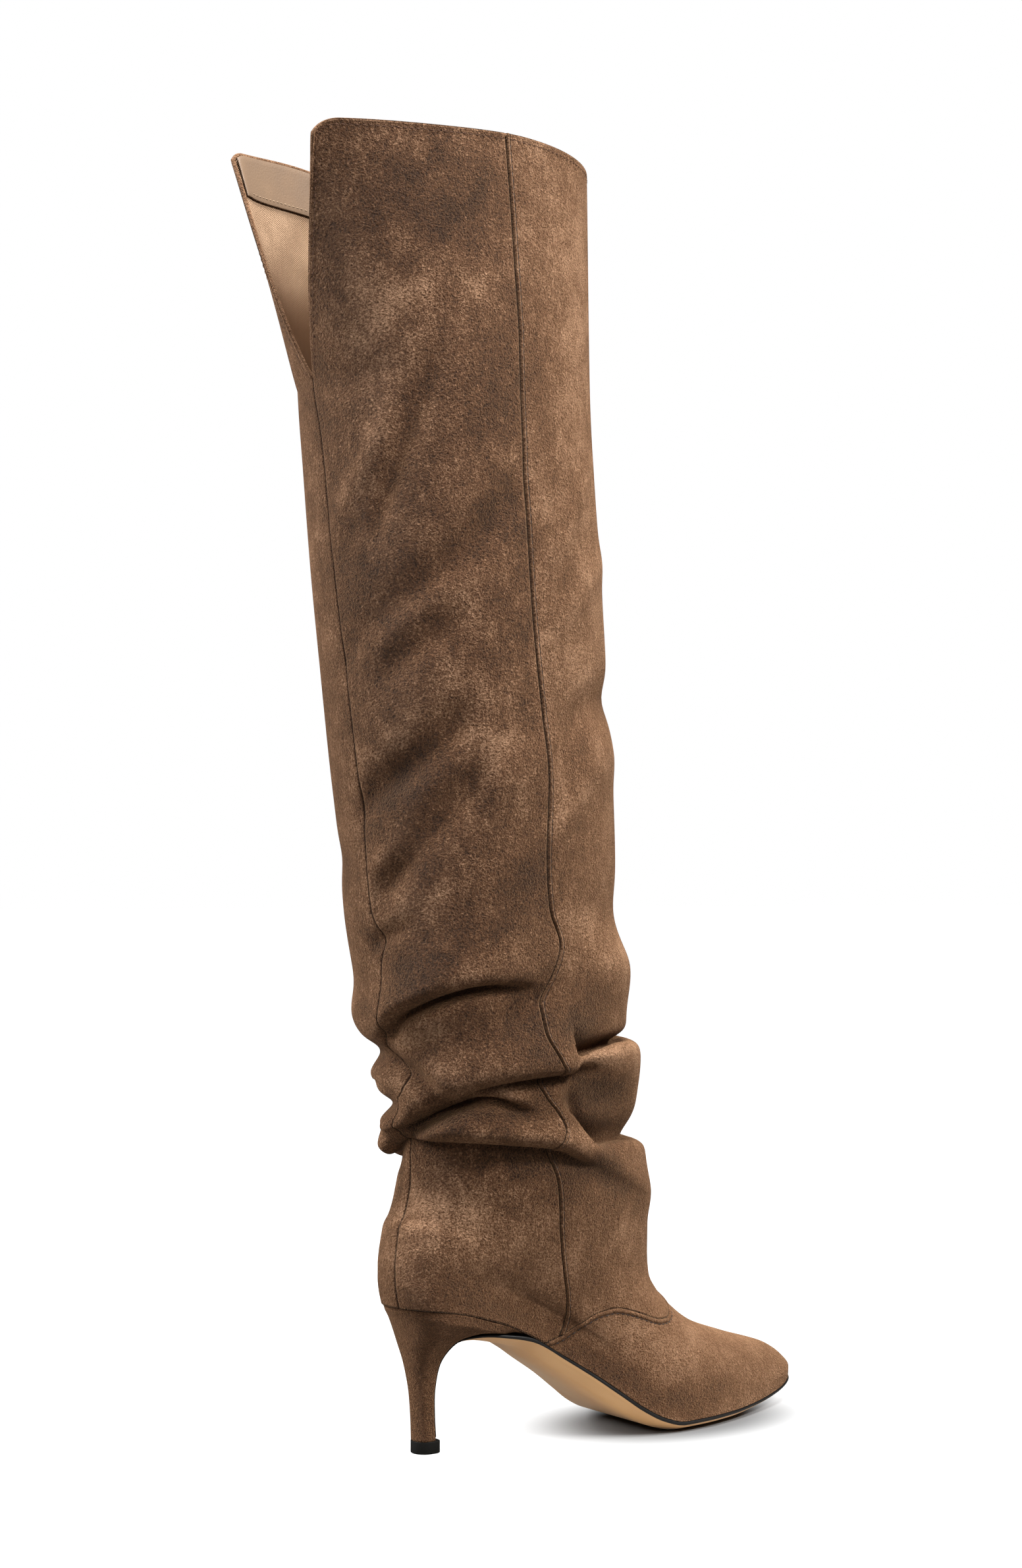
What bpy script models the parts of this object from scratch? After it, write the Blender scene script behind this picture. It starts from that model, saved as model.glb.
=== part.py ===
"""Over-the-knee boot with a slouched shaft, a notched collar and a slim covered heel.

A right boot, standing empty on its heel tip and the ball of its sole. The origin is at the
centre of the heel tip's underside, +X runs to the toe, +Y to the inner side of the foot and
+Z up. Sizes are in millimetres and are scaled to metres as each mesh is made.
"""

import math

import bmesh
import bpy
import numpy as np

MM = 0.001
COLLECTION = "over_the_knee_boot"

# Driving dimensions.
BACK_X = -19.0            # rearmost point of the feather line, where upper meets sole
TOE_X = 219.5             # foremost point of the feather line
WALL = 1.8                # suede, backing and lining together
SOLE_GAP = 0.8            # gap between the feather line and the outsole
RIM_Z = 585.0             # top of the shaft at the back
NOTCH_Z = 477.0           # foot of the slit at the back of the shaft
HEEL_TIP_HEIGHT = 5.5
HEEL_TIP_HALF = 6.2       # half of the heel tip's width
HEEL_TIP_REACH = 6.0      # heel tip's reach before and behind the origin
INSOLE_THICKNESS = 2.0
INSOLE_INSET = 4.0        # from the feather line to its edge, past the upper's wall
INSOLE_LIFT = 0.5         # height of its underside over the feather line
FACING_HEIGHT = 18.5      # band of smooth lining sewn inside the rim
FACING_THICKNESS = 0.8
FACING_BELOW_RIM = 2.0
FACING_GAP = 0.6          # the facing lies a little free of the wall
SOLE_EDGE = 0.8           # how far the sole's edge stands out past the upper
EDGE_BEVEL = 1.9          # height of the rounding under the sole's edge
BEVEL_INSET = 9.0         # width of that rounding, seen from below

# Mesh density.
UPPER_STEP = 10.0         # degrees between the upper's columns
PLATE_COLUMNS = 64
HEEL_COLUMNS = 32

# The slit at the back of the shaft. Its two flaps turn outwards, the inner one further.
NOTCH_HALF_ANGLE = 33.0   # degrees of the rim that the slit opens, on each side
FLARE_OUTER = 27.0
FLARE_INNER = 31.5
RIM_RADIUS = 66.0         # mean radius of the rim, to measure along it
CORNER_RADIUS = 8.0       # rounding of the flaps' top corners

# Side seams of the shaft, where the front panel laps over the back one.
SEAM_ANGLES = (90.0, 270.0)
SEAM_LAP = 0.7            # height of the step at the lap
SEAM_WIDTH = 1.6          # width of the step, in degrees round the leg
SEAM_FOOT_Z = (105.0, 130.0)   # the step rises from nothing between these heights

# Plan of the feather line, by share of its length from heel to toe. Fullness is the half width
# that an ellipse would need at its middle to be as wide here; centre is the shift to the inner side.
OUTLINE = {
    "share": (
        0.00, 0.08, 0.18, 0.25, 0.31, 0.37, 0.43, 0.49,
        0.55, 0.62, 0.68, 0.74, 0.80, 0.86, 0.93, 1.00,
    ),
    "fullness": (
        50.0, 41.0, 30.7, 25.6, 23.4, 24.2, 27.1, 31.3,
        35.0, 37.6, 38.6, 38.2, 37.2, 36.0, 35.0, 34.0,
    ),
    "centre": (
        0.0, 0.0, -0.3, -0.8, -1.5, -2.3, -2.6, -1.8,
        -0.4, 1.3, 2.8, 4.2, 5.4, 6.4, 7.4, 8.5,
    ),
}

# Side view of the feather line: heel seat, shank, flat tread and toe spring.
FEATHER = {
    "x": (-19.0, 0.0, 25.0, 45.0, 60.0, 75.0, 88.0, 100.0, 111.0, 122.0, 155.0, 178.0, 198.0, 219.5),
    "z": (66.5, 64.5, 58.0, 49.2, 40.2, 30.8, 21.6, 13.2, 7.6, 4.9, 4.9, 5.7, 7.5, 10.8),
}

# Rings of the upper from the feather line to the rim. Each runs from a point on the back of the
# boot to one on its front. Half is the half width; sole_share says how much of the ring keeps the
# plan of the foot, follow how much of its side view keeps the bend of the sole. Steps is the
# number of mesh rows up to the next ring.
RING_COLUMNS = ("back_x", "back_z", "front_x", "front_z", "half", "sole_share", "follow", "steps")
RINGS = (
    (-19.0, 66.5, 219.5, 10.8, 30.0, 1.00, 1.00, 1),   # feather line
    (-20.3, 72.0, 220.0, 15.2, 31.0, 1.00, 0.96, 1),   # toe wall
    (-21.0, 78.0, 214.5, 20.8, 32.0, 0.94, 0.88, 1),   # toe crown
    (-21.0, 84.0, 203.0, 27.6, 32.5, 0.86, 0.75, 2),   # toe top
    (-20.3, 90.0, 174.0, 36.6, 33.0, 0.74, 0.58, 2),   # vamp
    (-19.2, 96.0, 150.0, 45.0, 33.5, 0.58, 0.40, 1),   # throat
    (-18.0, 102.0, 137.0, 53.2, 34.0, 0.42, 0.26, 1),  # instep
    (-15.2, 107.0, 128.0, 61.2, 34.5, 0.28, 0.16, 1),
    (-13.4, 112.0, 122.5, 70.0, 35.0, 0.16, 0.08, 1),
    (-12.2, 117.0, 121.5, 81.0, 35.5, 0.08, 0.03, 1),  # ankle
    (-11.5, 122.0, 121.5, 94.0, 36.5, 0.02, 0.00, 1),
    (-11.8, 128.0, 123.5, 108.0, 37.5, 0.00, 0.00, 3),
    (-15.0, 138.0, 120.0, 126.0, 39.0, 0.00, 0.00, 4),  # slouch, from here
    (-18.0, 152.0, 113.0, 148.0, 42.0, 0.00, 0.00, 5),
    (-21.5, 170.0, 108.5, 169.0, 45.0, 0.00, 0.00, 5),
    (-26.0, 190.0, 104.5, 190.0, 47.5, 0.00, 0.00, 5),
    (-30.5, 212.0, 101.5, 212.0, 50.0, 0.00, 0.00, 3),  # slouch, to here
    (-35.5, 240.0, 98.0, 240.0, 52.0, 0.00, 0.00, 2),
    (-38.5, 275.0, 96.5, 275.0, 54.0, 0.00, 0.00, 2),   # calf
    (-43.0, 310.0, 94.5, 310.0, 55.5, 0.00, 0.00, 2),
    (-47.5, 350.0, 91.0, 350.0, 57.0, 0.00, 0.00, 2),
    (-52.5, 395.0, 87.5, 395.0, 58.0, 0.00, 0.00, 2),
    (-56.5, 440.0, 83.5, 440.0, 58.5, 0.00, 0.00, 2),
    (-59.5, 477.0, 81.0, 477.0, 59.0, 0.00, 0.00, 7),   # foot of the slit
    (-63.0, 585.0, 79.0, 581.5, 60.0, 0.00, 0.00, 0),   # rim
)

# Folds of the slouch. Angle is measured round the leg from the back, through the outer side at 90
# and the front at 180. Rise lifts the fold's line across its reach, out is the height of the ridge
# or, where negative, the depth of the trough, and droop lets the ridge hang over what is below it.
FOLD_COLUMNS = ("level", "angle", "reach", "rise", "out", "thickness", "droop")
FOLDS = (
    (205.0, 10.0, 75.0, 5.0, 4.0, 9.0, 4.0),       # swell over the first crease
    (203.0, 65.0, 50.0, 9.0, -5.0, 5.5, 0.0),      # first crease, outer side
    (213.0, 160.0, 60.0, 0.0, 5.5, 10.0, 3.0),      # swell at the front
    (184.0, 152.0, 48.0, 0.0, -6.0, 6.0, 0.0),     # slot over the front roll
    (173.0, 95.0, 115.0, 3.0, 5.0, 8.0, 7.0),      # upper roll
    (158.0, 85.0, 110.0, 3.0, -4.5, 5.5, 0.0),     # crease under it
    (146.0, 55.0, 100.0, -3.0, 5.0, 6.0, 6.0),     # lower roll
    (145.0, 152.0, 46.0, 0.0, -10.0, 7.0, 0.0),    # pocket at the front
    (130.0, 20.0, 75.0, -2.0, -3.0, 5.5, 0.0),     # crease over the ankle
    (178.5, 345.0, 60.0, 0.0, -6.5, 6.5, 0.0),     # upper crease at the back
    (168.0, 345.0, 50.0, 0.0, 2.0, 6.0, 2.0),      # small roll at the back
    (156.0, 348.0, 55.0, 0.0, -5.5, 5.0, 0.0),     # lower crease at the back
    (143.0, 348.0, 60.0, 0.0, 6.5, 5.5, 5.0),      # hanging roll at the back
    (198.0, 268.0, 65.0, -4.0, -4.5, 6.0, 0.0),    # first crease, inner side
    (180.0, 268.0, 80.0, -3.0, 4.5, 8.0, 6.0),     # upper roll, inner side
    (163.0, 272.0, 75.0, -2.0, -4.5, 6.0, 0.0),    # crease under it
    (149.0, 275.0, 85.0, 3.0, 4.5, 7.0, 5.0),      # lower roll, inner side
)

# Rings of the covered heel from its tip to the seat, as for the upper.
HEEL_COLUMNS_NAMED = ("back_x", "back_z", "front_x", "front_z", "half", "front_square")
HEEL_RINGS = (
    (-5.7, 5.8, 3.4, 5.8, 5.9, 5.0),
    (-6.0, 14.0, 2.8, 14.0, 5.8, 5.0),
    (-6.8, 26.0, 2.4, 25.0, 6.3, 5.0),
    (-8.0, 34.0, 2.7, 32.0, 7.4, 5.0),
    (-9.4, 41.0, 3.6, 39.0, 9.2, 5.0),
    (-11.2, 48.0, 5.9, 45.0, 12.4, 5.0),
    (-12.6, 54.0, 11.4, 50.6, 16.8, 5.0),
    (-14.8, 60.0, 22.0, 52.8, 20.8, 6.0),
    (-17.2, 64.0, 33.0, 51.8, 22.9, 7.0),
)
HEEL_SEAT_FRONT_X = 41.0
HEEL_SEAT_HALF = 23.8
SEAT_GAP = 0.7            # the seat lies this far under the feather line

# Upper face of the outsole in side view, from the foot of the heel's breast to the toe, with the
# half width of the strip up the breast and under the heel's wedge, and the thickness.
OUTSOLE = {
    "x":         (3.8, 3.2, 2.8, 3.1, 4.0, 6.3, 11.8, 22.0, 33.0, 43.5),
    "z":         (5.8, 14.0, 25.0, 32.0, 39.0, 44.7, 50.0, 52.2, 51.2, 48.4),
    "half":      (5.2, 5.2, 5.7, 6.7, 8.4, 11.4, 15.8, 19.6, 21.6, 22.0),
    "thickness": (1.0, 1.0, 1.0, 1.1, 1.3, 1.6, 2.0, 2.4, 2.8, 3.0),
}
SHANK_X = (52.0, 60.0, 75.0, 88.0, 100.0, 111.0, 122.0, 155.0, 178.0, 198.0, 220.2)
SHANK_THICKNESS = (3.0, 3.1, 3.3, 3.6, 3.9, 4.1, 4.1, 4.1, 3.9, 3.5, 3.0)

MATERIALS = {
    "suede":     {"color": (0.110, 0.064, 0.038), "roughness": 0.95},
    "sole_tan":  {"color": (0.560, 0.330, 0.150), "roughness": 0.45},
    "tip_black": {"color": (0.012, 0.011, 0.010), "roughness": 0.55},
    "facing":    {"color": (0.270, 0.200, 0.130), "roughness": 0.50},
    "footbed":   {"color": (0.420, 0.300, 0.190), "roughness": 0.70},
}


def monotone(xs, ys, at):
    """Smooth curve through a table that never overshoots it, read at one or more places."""
    xs, ys = np.asarray(xs, float), np.asarray(ys, float)
    step = np.diff(xs)
    slope = np.diff(ys) / step
    tangent = np.empty_like(ys)
    tangent[0], tangent[-1] = slope[0], slope[-1]
    left, right = slope[:-1], slope[1:]
    weight = 1.0 + step[1:] / (step[:-1] + step[1:])
    with np.errstate(divide="ignore", invalid="ignore"):
        mean = 3.0 / (weight / left + (3.0 - weight) / right)
    tangent[1:-1] = np.where(left * right > 0.0, mean, 0.0)
    at = np.clip(np.asarray(at, float), xs[0], xs[-1])
    i = np.clip(np.searchsorted(xs, at) - 1, 0, len(step) - 1)
    t = (at - xs[i]) / step[i]
    return (
        (2 * t**3 - 3 * t**2 + 1) * ys[i]
        + (t**3 - 2 * t**2 + t) * step[i] * tangent[i]
        + (3 * t**2 - 2 * t**3) * ys[i + 1]
        + (t**3 - t**2) * step[i] * tangent[i + 1]
    )


def column(rows, names, name):
    return [row[names.index(name)] for row in rows]


def outline_half(share, place=None):
    """Half width of the foot's plan. Place, if given, is where along the foot its fullness is read."""
    full = float(monotone(OUTLINE["share"], OUTLINE["fullness"], share if place is None else place))
    return 2.0 * full * math.sqrt(max(share * (1.0 - share), 0.0))


def outline_centre(share):
    return float(monotone(OUTLINE["share"], OUTLINE["centre"], share))


def feather_z(x):
    return float(monotone(FEATHER["x"], FEATHER["z"], x))


def feather_share(x):
    return (x - BACK_X) / (TOE_X - BACK_X)


def ring_value(name, level):
    """A ring's size at a level, where whole levels are the table's rows."""
    return float(monotone(range(len(RINGS)), column(RINGS, RING_COLUMNS, name), level))


def fold_shift(angle, height):
    """Outward and downward shift that the folds give to a point of the shaft."""
    out, down = 0.0, 0.0
    for fold in FOLDS:
        level, middle, reach, rise, ridge, thickness, droop = fold
        turn = (angle - middle + 180.0) % 360.0 - 180.0
        if abs(turn) >= reach:
            continue
        fade = math.cos(0.5 * math.pi * turn / reach) ** 2
        across = (height - level - rise * turn / reach) / thickness
        bump = fade * math.exp(-across * across)
        out += ridge * bump
        down += droop * bump
    return out, down


def seam_step(angle, height):
    """Step up to the front panel's edge, falling away to nothing one column further on."""
    past = min((angle - SEAM_ANGLES[0]) if angle <= 180.0 else (SEAM_ANGLES[1] - angle), UPPER_STEP)
    if past <= 0.0:
        return 0.0
    low, high = SEAM_FOOT_Z
    grow = min(max((height - low) / (high - low), 0.0), 1.0)
    edge = 0.5 * SEAM_WIDTH
    return SEAM_LAP * grow * min(past / edge, (UPPER_STEP - past) / (UPPER_STEP - edge))


def upper_columns():
    """Places of the upper's columns round the leg, two of them close together at each side seam."""
    angles = []
    for step in range(round(360.0 / UPPER_STEP) + 1):
        angle = step * UPPER_STEP
        if angle in SEAM_ANGLES:
            angles += [angle - 0.5 * SEAM_WIDTH, angle + 0.5 * SEAM_WIDTH]
        else:
            angles.append(angle)
    return [angle / 360.0 for angle in angles]


def slit_opening(height):
    """How far open the slit is, from 0 at its foot to 1 at the rim."""
    return max(0.0, (height - NOTCH_Z) / (RIM_Z - NOTCH_Z)) ** 0.9


def upper_point(around, level):
    """Outer face of the upper. Around runs from the back through the outer side, front and inner side."""
    angle = 360.0 * around
    outer_side = angle <= 180.0
    from_back = angle if outer_side else 360.0 - angle
    back_x, back_z = ring_value("back_x", level), ring_value("back_z", level)
    front_x, front_z = ring_value("front_x", level), ring_value("front_z", level)
    opening = slit_opening(back_z)
    if from_back < 90.0:
        from_back += NOTCH_HALF_ANGLE * opening * (1.0 - from_back / 90.0)
    share = 0.5 - 0.5 * math.cos(math.radians(from_back))
    keep, follow = ring_value("sole_share", level), ring_value("follow", level)
    foot_x = BACK_X + share * (TOE_X - BACK_X)
    chord_z = FEATHER["z"][0] + share * (FEATHER["z"][-1] - FEATHER["z"][0])
    x = back_x + share * (front_x - back_x)
    place = min(max(feather_share(x), 0.0), 1.0)
    half = (1.0 - keep) * ring_value("half", level) * math.sin(math.radians(from_back))
    half += keep * outline_half(share, place)
    y = keep * outline_centre(place) + (-half if outer_side else half)
    z = back_z + share * (front_z - back_z) + follow * (feather_z(foot_x) - chord_z)
    out, down = fold_shift(angle, z)
    out += seam_step(angle, z)
    middle_x = 0.5 * (back_x + front_x)
    spread = math.hypot(x - middle_x, y) or 1.0
    x += out * (x - middle_x) / spread
    y += out * y / spread
    z -= down
    if opening > 0.0 and share < 0.5:
        near_slit = math.cos(math.radians(from_back)) / math.cos(math.radians(NOTCH_HALF_ANGLE * opening))
        x -= (FLARE_OUTER if outer_side else FLARE_INNER) * opening * near_slit**2
        z -= corner_drop(from_back, opening) * opening**6
    return x, y, z


def corner_drop(from_back, opening):
    """Drop of the rim near the slit, which rounds the flaps' corners."""
    inset = math.radians(from_back - NOTCH_HALF_ANGLE * opening) * RIM_RADIUS
    short = min(max(0.0, CORNER_RADIUS - inset), CORNER_RADIUS)
    return CORNER_RADIUS - math.sqrt(CORNER_RADIUS**2 - short**2)


def inner_point(around, level, depth):
    """A point at a depth inside the outer face of the upper, along its normal."""
    step = 0.004
    here = np.array(upper_point(around, level))
    low, high = max(around - step, 0.0), min(around + step, 1.0)
    run = np.subtract(upper_point(high, level), upper_point(low, level))
    top = len(RINGS) - 1
    climb = np.subtract(
        upper_point(around, min(level + step, top)), upper_point(around, max(level - step, 0.0))
    )
    normal = np.cross(run, climb)
    return here - depth * normal / np.linalg.norm(normal)


def mapped_grid(name, columns, rows, place, material):
    """A grid whose points are moved by a function of their two shares, with touching edges joined."""
    bm = bmesh.new()
    bmesh.ops.create_grid(bm, x_segments=columns, y_segments=rows, size=1.0)
    for vert in bm.verts:
        vert.co = [MM * v for v in place(0.5 + 0.5 * vert.co.x, 0.5 + 0.5 * vert.co.y)]
    bmesh.ops.remove_doubles(bm, verts=bm.verts, dist=0.02 * MM)
    if not any(edge.is_boundary for edge in bm.edges):
        bmesh.ops.recalc_face_normals(bm, faces=bm.faces)
    mesh = bpy.data.meshes.new(name)
    bm.to_mesh(mesh)
    bm.free()
    mesh.shade_smooth()
    mesh.materials.append(material)
    obj = bpy.data.objects.new(name, mesh)
    bpy.data.collections[COLLECTION].objects.link(obj)
    return obj


def thicken(obj, thickness):
    """Gives an open surface a wall on its inner side."""
    wall = obj.modifiers.new("wall", "SOLIDIFY")
    wall.thickness = thickness * MM
    wall.offset = -1.0
    wall.use_even_offset = True
    return obj


def upper_levels():
    """Ring levels of the upper's mesh rows, close together where the shaft folds."""
    levels = []
    for row, steps in enumerate(column(RINGS, RING_COLUMNS, "steps")):
        levels += [row + step / steps for step in range(steps)]
    return levels + [len(RINGS) - 1]


def make_upper(material):
    levels, arounds = upper_levels(), upper_columns()
    columns, rows = len(arounds) - 1, len(levels) - 1

    def place(across, up):
        return upper_point(arounds[round(across * columns)], levels[round(up * rows)])

    return thicken(mapped_grid("upper", columns, rows, place, material), WALL)


def make_facing(material):
    """Band of smooth lining inside the rim, from one edge of the slit round to the other."""
    top = len(RINGS) - 1
    slit_height = RIM_Z - NOTCH_Z
    highest = top - FACING_BELOW_RIM / slit_height
    lowest = highest - FACING_HEIGHT / slit_height
    edge_share = 0.012
    arounds = upper_columns()
    columns = len(arounds) - 1

    def place(across, up):
        around = min(max(arounds[round(across * columns)], edge_share), 1.0 - edge_share)
        return inner_point(around, lowest + up * (highest - lowest), WALL + FACING_GAP)

    return thicken(mapped_grid("collar_facing", columns, 3, place, material), FACING_THICKNESS)


def plate(name, columns, edge, spine, profile, material):
    """A closed plate. Profile lists (inset share, height share) from the top's spine to the bottom's."""

    def place(across, down):
        inset, height = profile[round(down * (len(profile) - 1))]
        return edge(across, inset, height) if inset < 1.0 else spine(across, height)

    return mapped_grid(name, columns, len(profile) - 1, place, material)


def along_and_side(around):
    """Share of the length and the side, outer or inner, of a place round a closed outline."""
    share = 0.5 - 0.5 * math.cos(2.0 * math.pi * around)
    return share, (-1.0 if around <= 0.5 else 1.0)


def make_insole(material):
    """Footbed inside the upper's wall, following the bend of the sole."""
    inset = INSOLE_INSET
    back, front = BACK_X + inset, TOE_X - inset
    end = 0.03

    def point(around, width, height):
        share, side = along_and_side(around)
        if width == 0.0:
            share = end + share * (1.0 - 2.0 * end)
        x = back + share * (front - back)
        place_share = feather_share(x)
        half = max(outline_half(place_share) - inset, 0.0) if 0.0 < share < 1.0 else 0.0
        y = outline_centre(place_share) + side * half * width
        return x, y, feather_z(x) + INSOLE_LIFT + height * INSOLE_THICKNESS

    profile = ((1.0, 1.0), (0.0, 1.0), (0.0, 0.0), (1.0, 0.0))
    return plate(
        "insole", PLATE_COLUMNS,
        lambda around, inset_share, height: point(around, 1.0 - inset_share, height),
        lambda around, height: point(around, 0.0, height),
        profile, material,
    )


def outsole_rows():
    """Stations of the outsole: top line, half width, centre and thickness, from breast to toe."""
    xs, zs = list(OUTSOLE["x"]), list(OUTSOLE["z"])
    halves, thick = list(OUTSOLE["half"]), list(OUTSOLE["thickness"])
    centres = [0.0] * len(xs)
    for x, thickness in zip(SHANK_X, SHANK_THICKNESS):
        share = min(feather_share(x), 1.0)
        xs.append(x)
        zs.append(feather_z(x) - SOLE_GAP)
        halves.append(outline_half(share) + SOLE_EDGE)
        centres.append(outline_centre(share))
        thick.append(thickness)
    run = np.concatenate([[0.0], np.cumsum(np.hypot(np.diff(xs), np.diff(zs)))])
    return run, xs, zs, halves, centres, thick


def make_outsole(material):
    """Outsole from the toe through the shank and down the breast of the heel, in one strip."""
    run, xs, zs, halves, centres, thick = outsole_rows()
    length = run[-1]
    shank_run = run[len(OUTSOLE["x"])]
    end_round = 1.5
    spine_end = 0.012

    def half_at(along):
        if along >= shank_run:
            share = feather_share(float(monotone(run, xs, along)))
            stretch = (TOE_X + SOLE_EDGE - BACK_X) / (TOE_X - BACK_X)
            return outline_half(min(share / stretch, 1.0)) + SOLE_EDGE * math.sqrt(max(1.0 - share, 0.0))
        short = max(0.0, 1.0 - along / end_round)
        return float(monotone(run, halves, along)) * math.sqrt(1.0 - short * short)

    def point(around, inset, height):
        share, side = along_and_side(around)
        if inset >= 1.0:
            share = spine_end + share * (1.0 - 2.0 * spine_end)
        along = share * length
        x, z = float(monotone(run, xs, along)), float(monotone(run, zs, along))
        ahead, behind = min(along + 1.0, length), max(along - 1.0, 0.0)
        dx = float(monotone(run, xs, ahead) - monotone(run, xs, behind))
        dz = float(monotone(run, zs, ahead) - monotone(run, zs, behind))
        tangent = math.hypot(dx, dz)
        depth = float(monotone(run, thick, along)) * height
        x += depth * dz / tangent
        z -= depth * dx / tangent
        half = half_at(along)
        reach = max(half - inset * BEVEL_INSET, 0.55 * half) if inset < 1.0 else 0.0
        return x, float(monotone(run, centres, along)) + side * reach, z

    bevel = 1.0 - EDGE_BEVEL / max(thick)
    profile = (
        (1.0, 0.0), (0.04, 0.0), (0.0, 0.12), (0.0, bevel - 0.2),
        (0.16, bevel + 0.06), (0.9, 1.0), (1.0, 1.0),
    )
    return plate(
        "outsole", PLATE_COLUMNS, point,
        lambda around, height: point(around, 1.0, height),
        profile, material,
    )


def make_heel(material):
    """Covered heel block: a slim stem that spreads into the seat and a wedge under the shank."""
    rings = [list(row) for row in HEEL_RINGS]
    seat = [BACK_X + 0.3, 0.0, HEEL_SEAT_FRONT_X, 0.0, HEEL_SEAT_HALF, 8.0]
    last = len(rings)
    rows = [-1.0] + [float(i) for i in range(last)] + [float(last), last + 1.0]
    spine_end = 0.12

    def place(around, up):
        level = rows[round(up * (len(rows) - 1))]
        turn = 2.0 * math.pi * around
        on_seat = level >= last
        ring = seat if on_seat else rings[max(int(level), 0)]
        back_x, back_z, front_x, front_z, half, square = ring
        cosine, sine = math.cos(turn), math.sin(turn)
        power = 2.0 / (2.0 if cosine > 0.0 else square)
        share = 0.5 - 0.5 * math.copysign(abs(cosine) ** power, cosine)
        width = math.copysign(abs(sine) ** power, sine)
        if level < 0.0 or level > last:
            share = spine_end + share * (1.0 - 2.0 * spine_end)
            width = 0.0
        x = back_x + share * (front_x - back_x)
        z = feather_z(x) - SEAT_GAP if on_seat else back_z + share * (front_z - back_z)
        return x, -width * half, z

    return mapped_grid("heel", HEEL_COLUMNS, len(rows) - 1, place, material)


def make_heel_tip(material):
    """Hard top piece under the heel, flat below."""
    profile = ((1.0, HEEL_TIP_HEIGHT), (0.0, HEEL_TIP_HEIGHT), (0.0, 0.5), (0.08, 0.0), (1.0, 0.0))
    square = 4.0
    spine_end = 0.2

    def place(around, down):
        inset, z = profile[round(down * (len(profile) - 1))]
        turn = 2.0 * math.pi * around
        cosine, sine = math.cos(turn), math.sin(turn)
        power = 2.0 / (2.0 if cosine > 0.0 else square)
        x = -HEEL_TIP_REACH * math.copysign(abs(cosine) ** power, cosine)
        y = -HEEL_TIP_HALF * math.copysign(abs(sine) ** power, sine)
        if inset >= 1.0:
            return x * (1.0 - spine_end), 0.0, z
        return x * (1.0 - inset), y * (1.0 - inset), z

    return mapped_grid("heel_tip", HEEL_COLUMNS, len(profile) - 1, place, material)


def make_material(name):
    look = MATERIALS[name]
    material = bpy.data.materials.new(name)
    material.use_nodes = True
    shader = material.node_tree.nodes["Principled BSDF"]
    shader.inputs["Base Color"].default_value = (*look["color"], 1.0)
    shader.inputs["Roughness"].default_value = look["roughness"]
    return material


def main():
    for obj in list(bpy.data.objects):
        bpy.data.objects.remove(obj)
    boot = bpy.data.collections.new(COLLECTION)
    bpy.context.scene.collection.children.link(boot)
    looks = {name: make_material(name) for name in MATERIALS}
    make_upper(looks["suede"])
    make_facing(looks["facing"])
    make_insole(looks["footbed"])
    make_outsole(looks["sole_tan"])
    make_heel(looks["suede"])
    make_heel_tip(looks["tip_black"])


main()
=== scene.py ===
import math

import bpy
import numpy as np
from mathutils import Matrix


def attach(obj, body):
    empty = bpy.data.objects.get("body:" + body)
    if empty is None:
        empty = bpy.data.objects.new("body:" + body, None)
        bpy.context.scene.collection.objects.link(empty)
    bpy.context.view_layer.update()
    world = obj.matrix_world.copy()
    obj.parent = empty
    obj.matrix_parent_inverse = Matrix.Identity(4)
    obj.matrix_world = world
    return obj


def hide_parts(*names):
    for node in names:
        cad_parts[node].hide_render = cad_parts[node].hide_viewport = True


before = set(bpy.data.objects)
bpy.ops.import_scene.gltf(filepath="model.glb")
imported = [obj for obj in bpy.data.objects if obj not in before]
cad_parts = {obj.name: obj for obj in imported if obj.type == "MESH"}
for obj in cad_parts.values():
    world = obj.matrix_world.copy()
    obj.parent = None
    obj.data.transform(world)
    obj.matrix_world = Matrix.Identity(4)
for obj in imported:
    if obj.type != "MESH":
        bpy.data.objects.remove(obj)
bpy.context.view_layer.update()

mm = 0.001
bpy.ops.object.select_all(action="DESELECT")
print("frame loaded:", sorted(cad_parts))

# The boot's own sizes, in millimetres: heel at the origin, toe along +X, inner side along +Y.
bootForm = {
    "backX": -19.0,
    "toeX": 219.5,
    "notchZ": 477.0,
    "rimZ": 585.0,
    "notchAngle": 33.0,     # degrees of the rim that the slit opens on each side
    "flareOuter": 27.0,     # how far the two flaps turn out
    "flareInner": 31.5,
    "rimRadius": 66.0,
    "cornerOuter": 8.0,
    "cornerInner": 5.0,
    "wall": 1.8,
}

# How far the rim rises or drops from its plain ring, by angle from the back, on each side.
rimInner = ((33, -2.0), (62, 3.5), (90, 3.0), (150, 0), (180, 0))
rimOuter = ((33, -2.4), (62, -1.5), (95, 0), (180, 0))

# Plan of the line where upper meets sole, by share of its length from heel to toe.
outline = {
    "share": (0, 0.08, 0.18, 0.25, 0.31, 0.37, 0.43, 0.49, 0.55, 0.62, 0.68, 0.74, 0.80, 0.86, 0.93, 1),
    "fullness": (50, 41, 30.7, 25.6, 23.4, 24.2, 27.1, 31.3, 35, 37.6, 38.6, 38.2, 37.2, 36, 35, 34),
    "centre": (0, 0, -0.3, -0.8, -1.5, -2.3, -2.6, -1.8, -0.4, 1.3, 2.8, 4.2, 5.4, 6.4, 7.4, 8.5),
}
feather = {
    "x": (-19, 0, 25, 45, 60, 75, 88, 100, 111, 122, 155, 178, 198, 219.5),
    "z": (66.5, 64.5, 58, 49.2, 40.2, 30.8, 21.6, 13.2, 7.6, 4.9, 4.9, 5.7, 7.5, 10.8),
}

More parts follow.
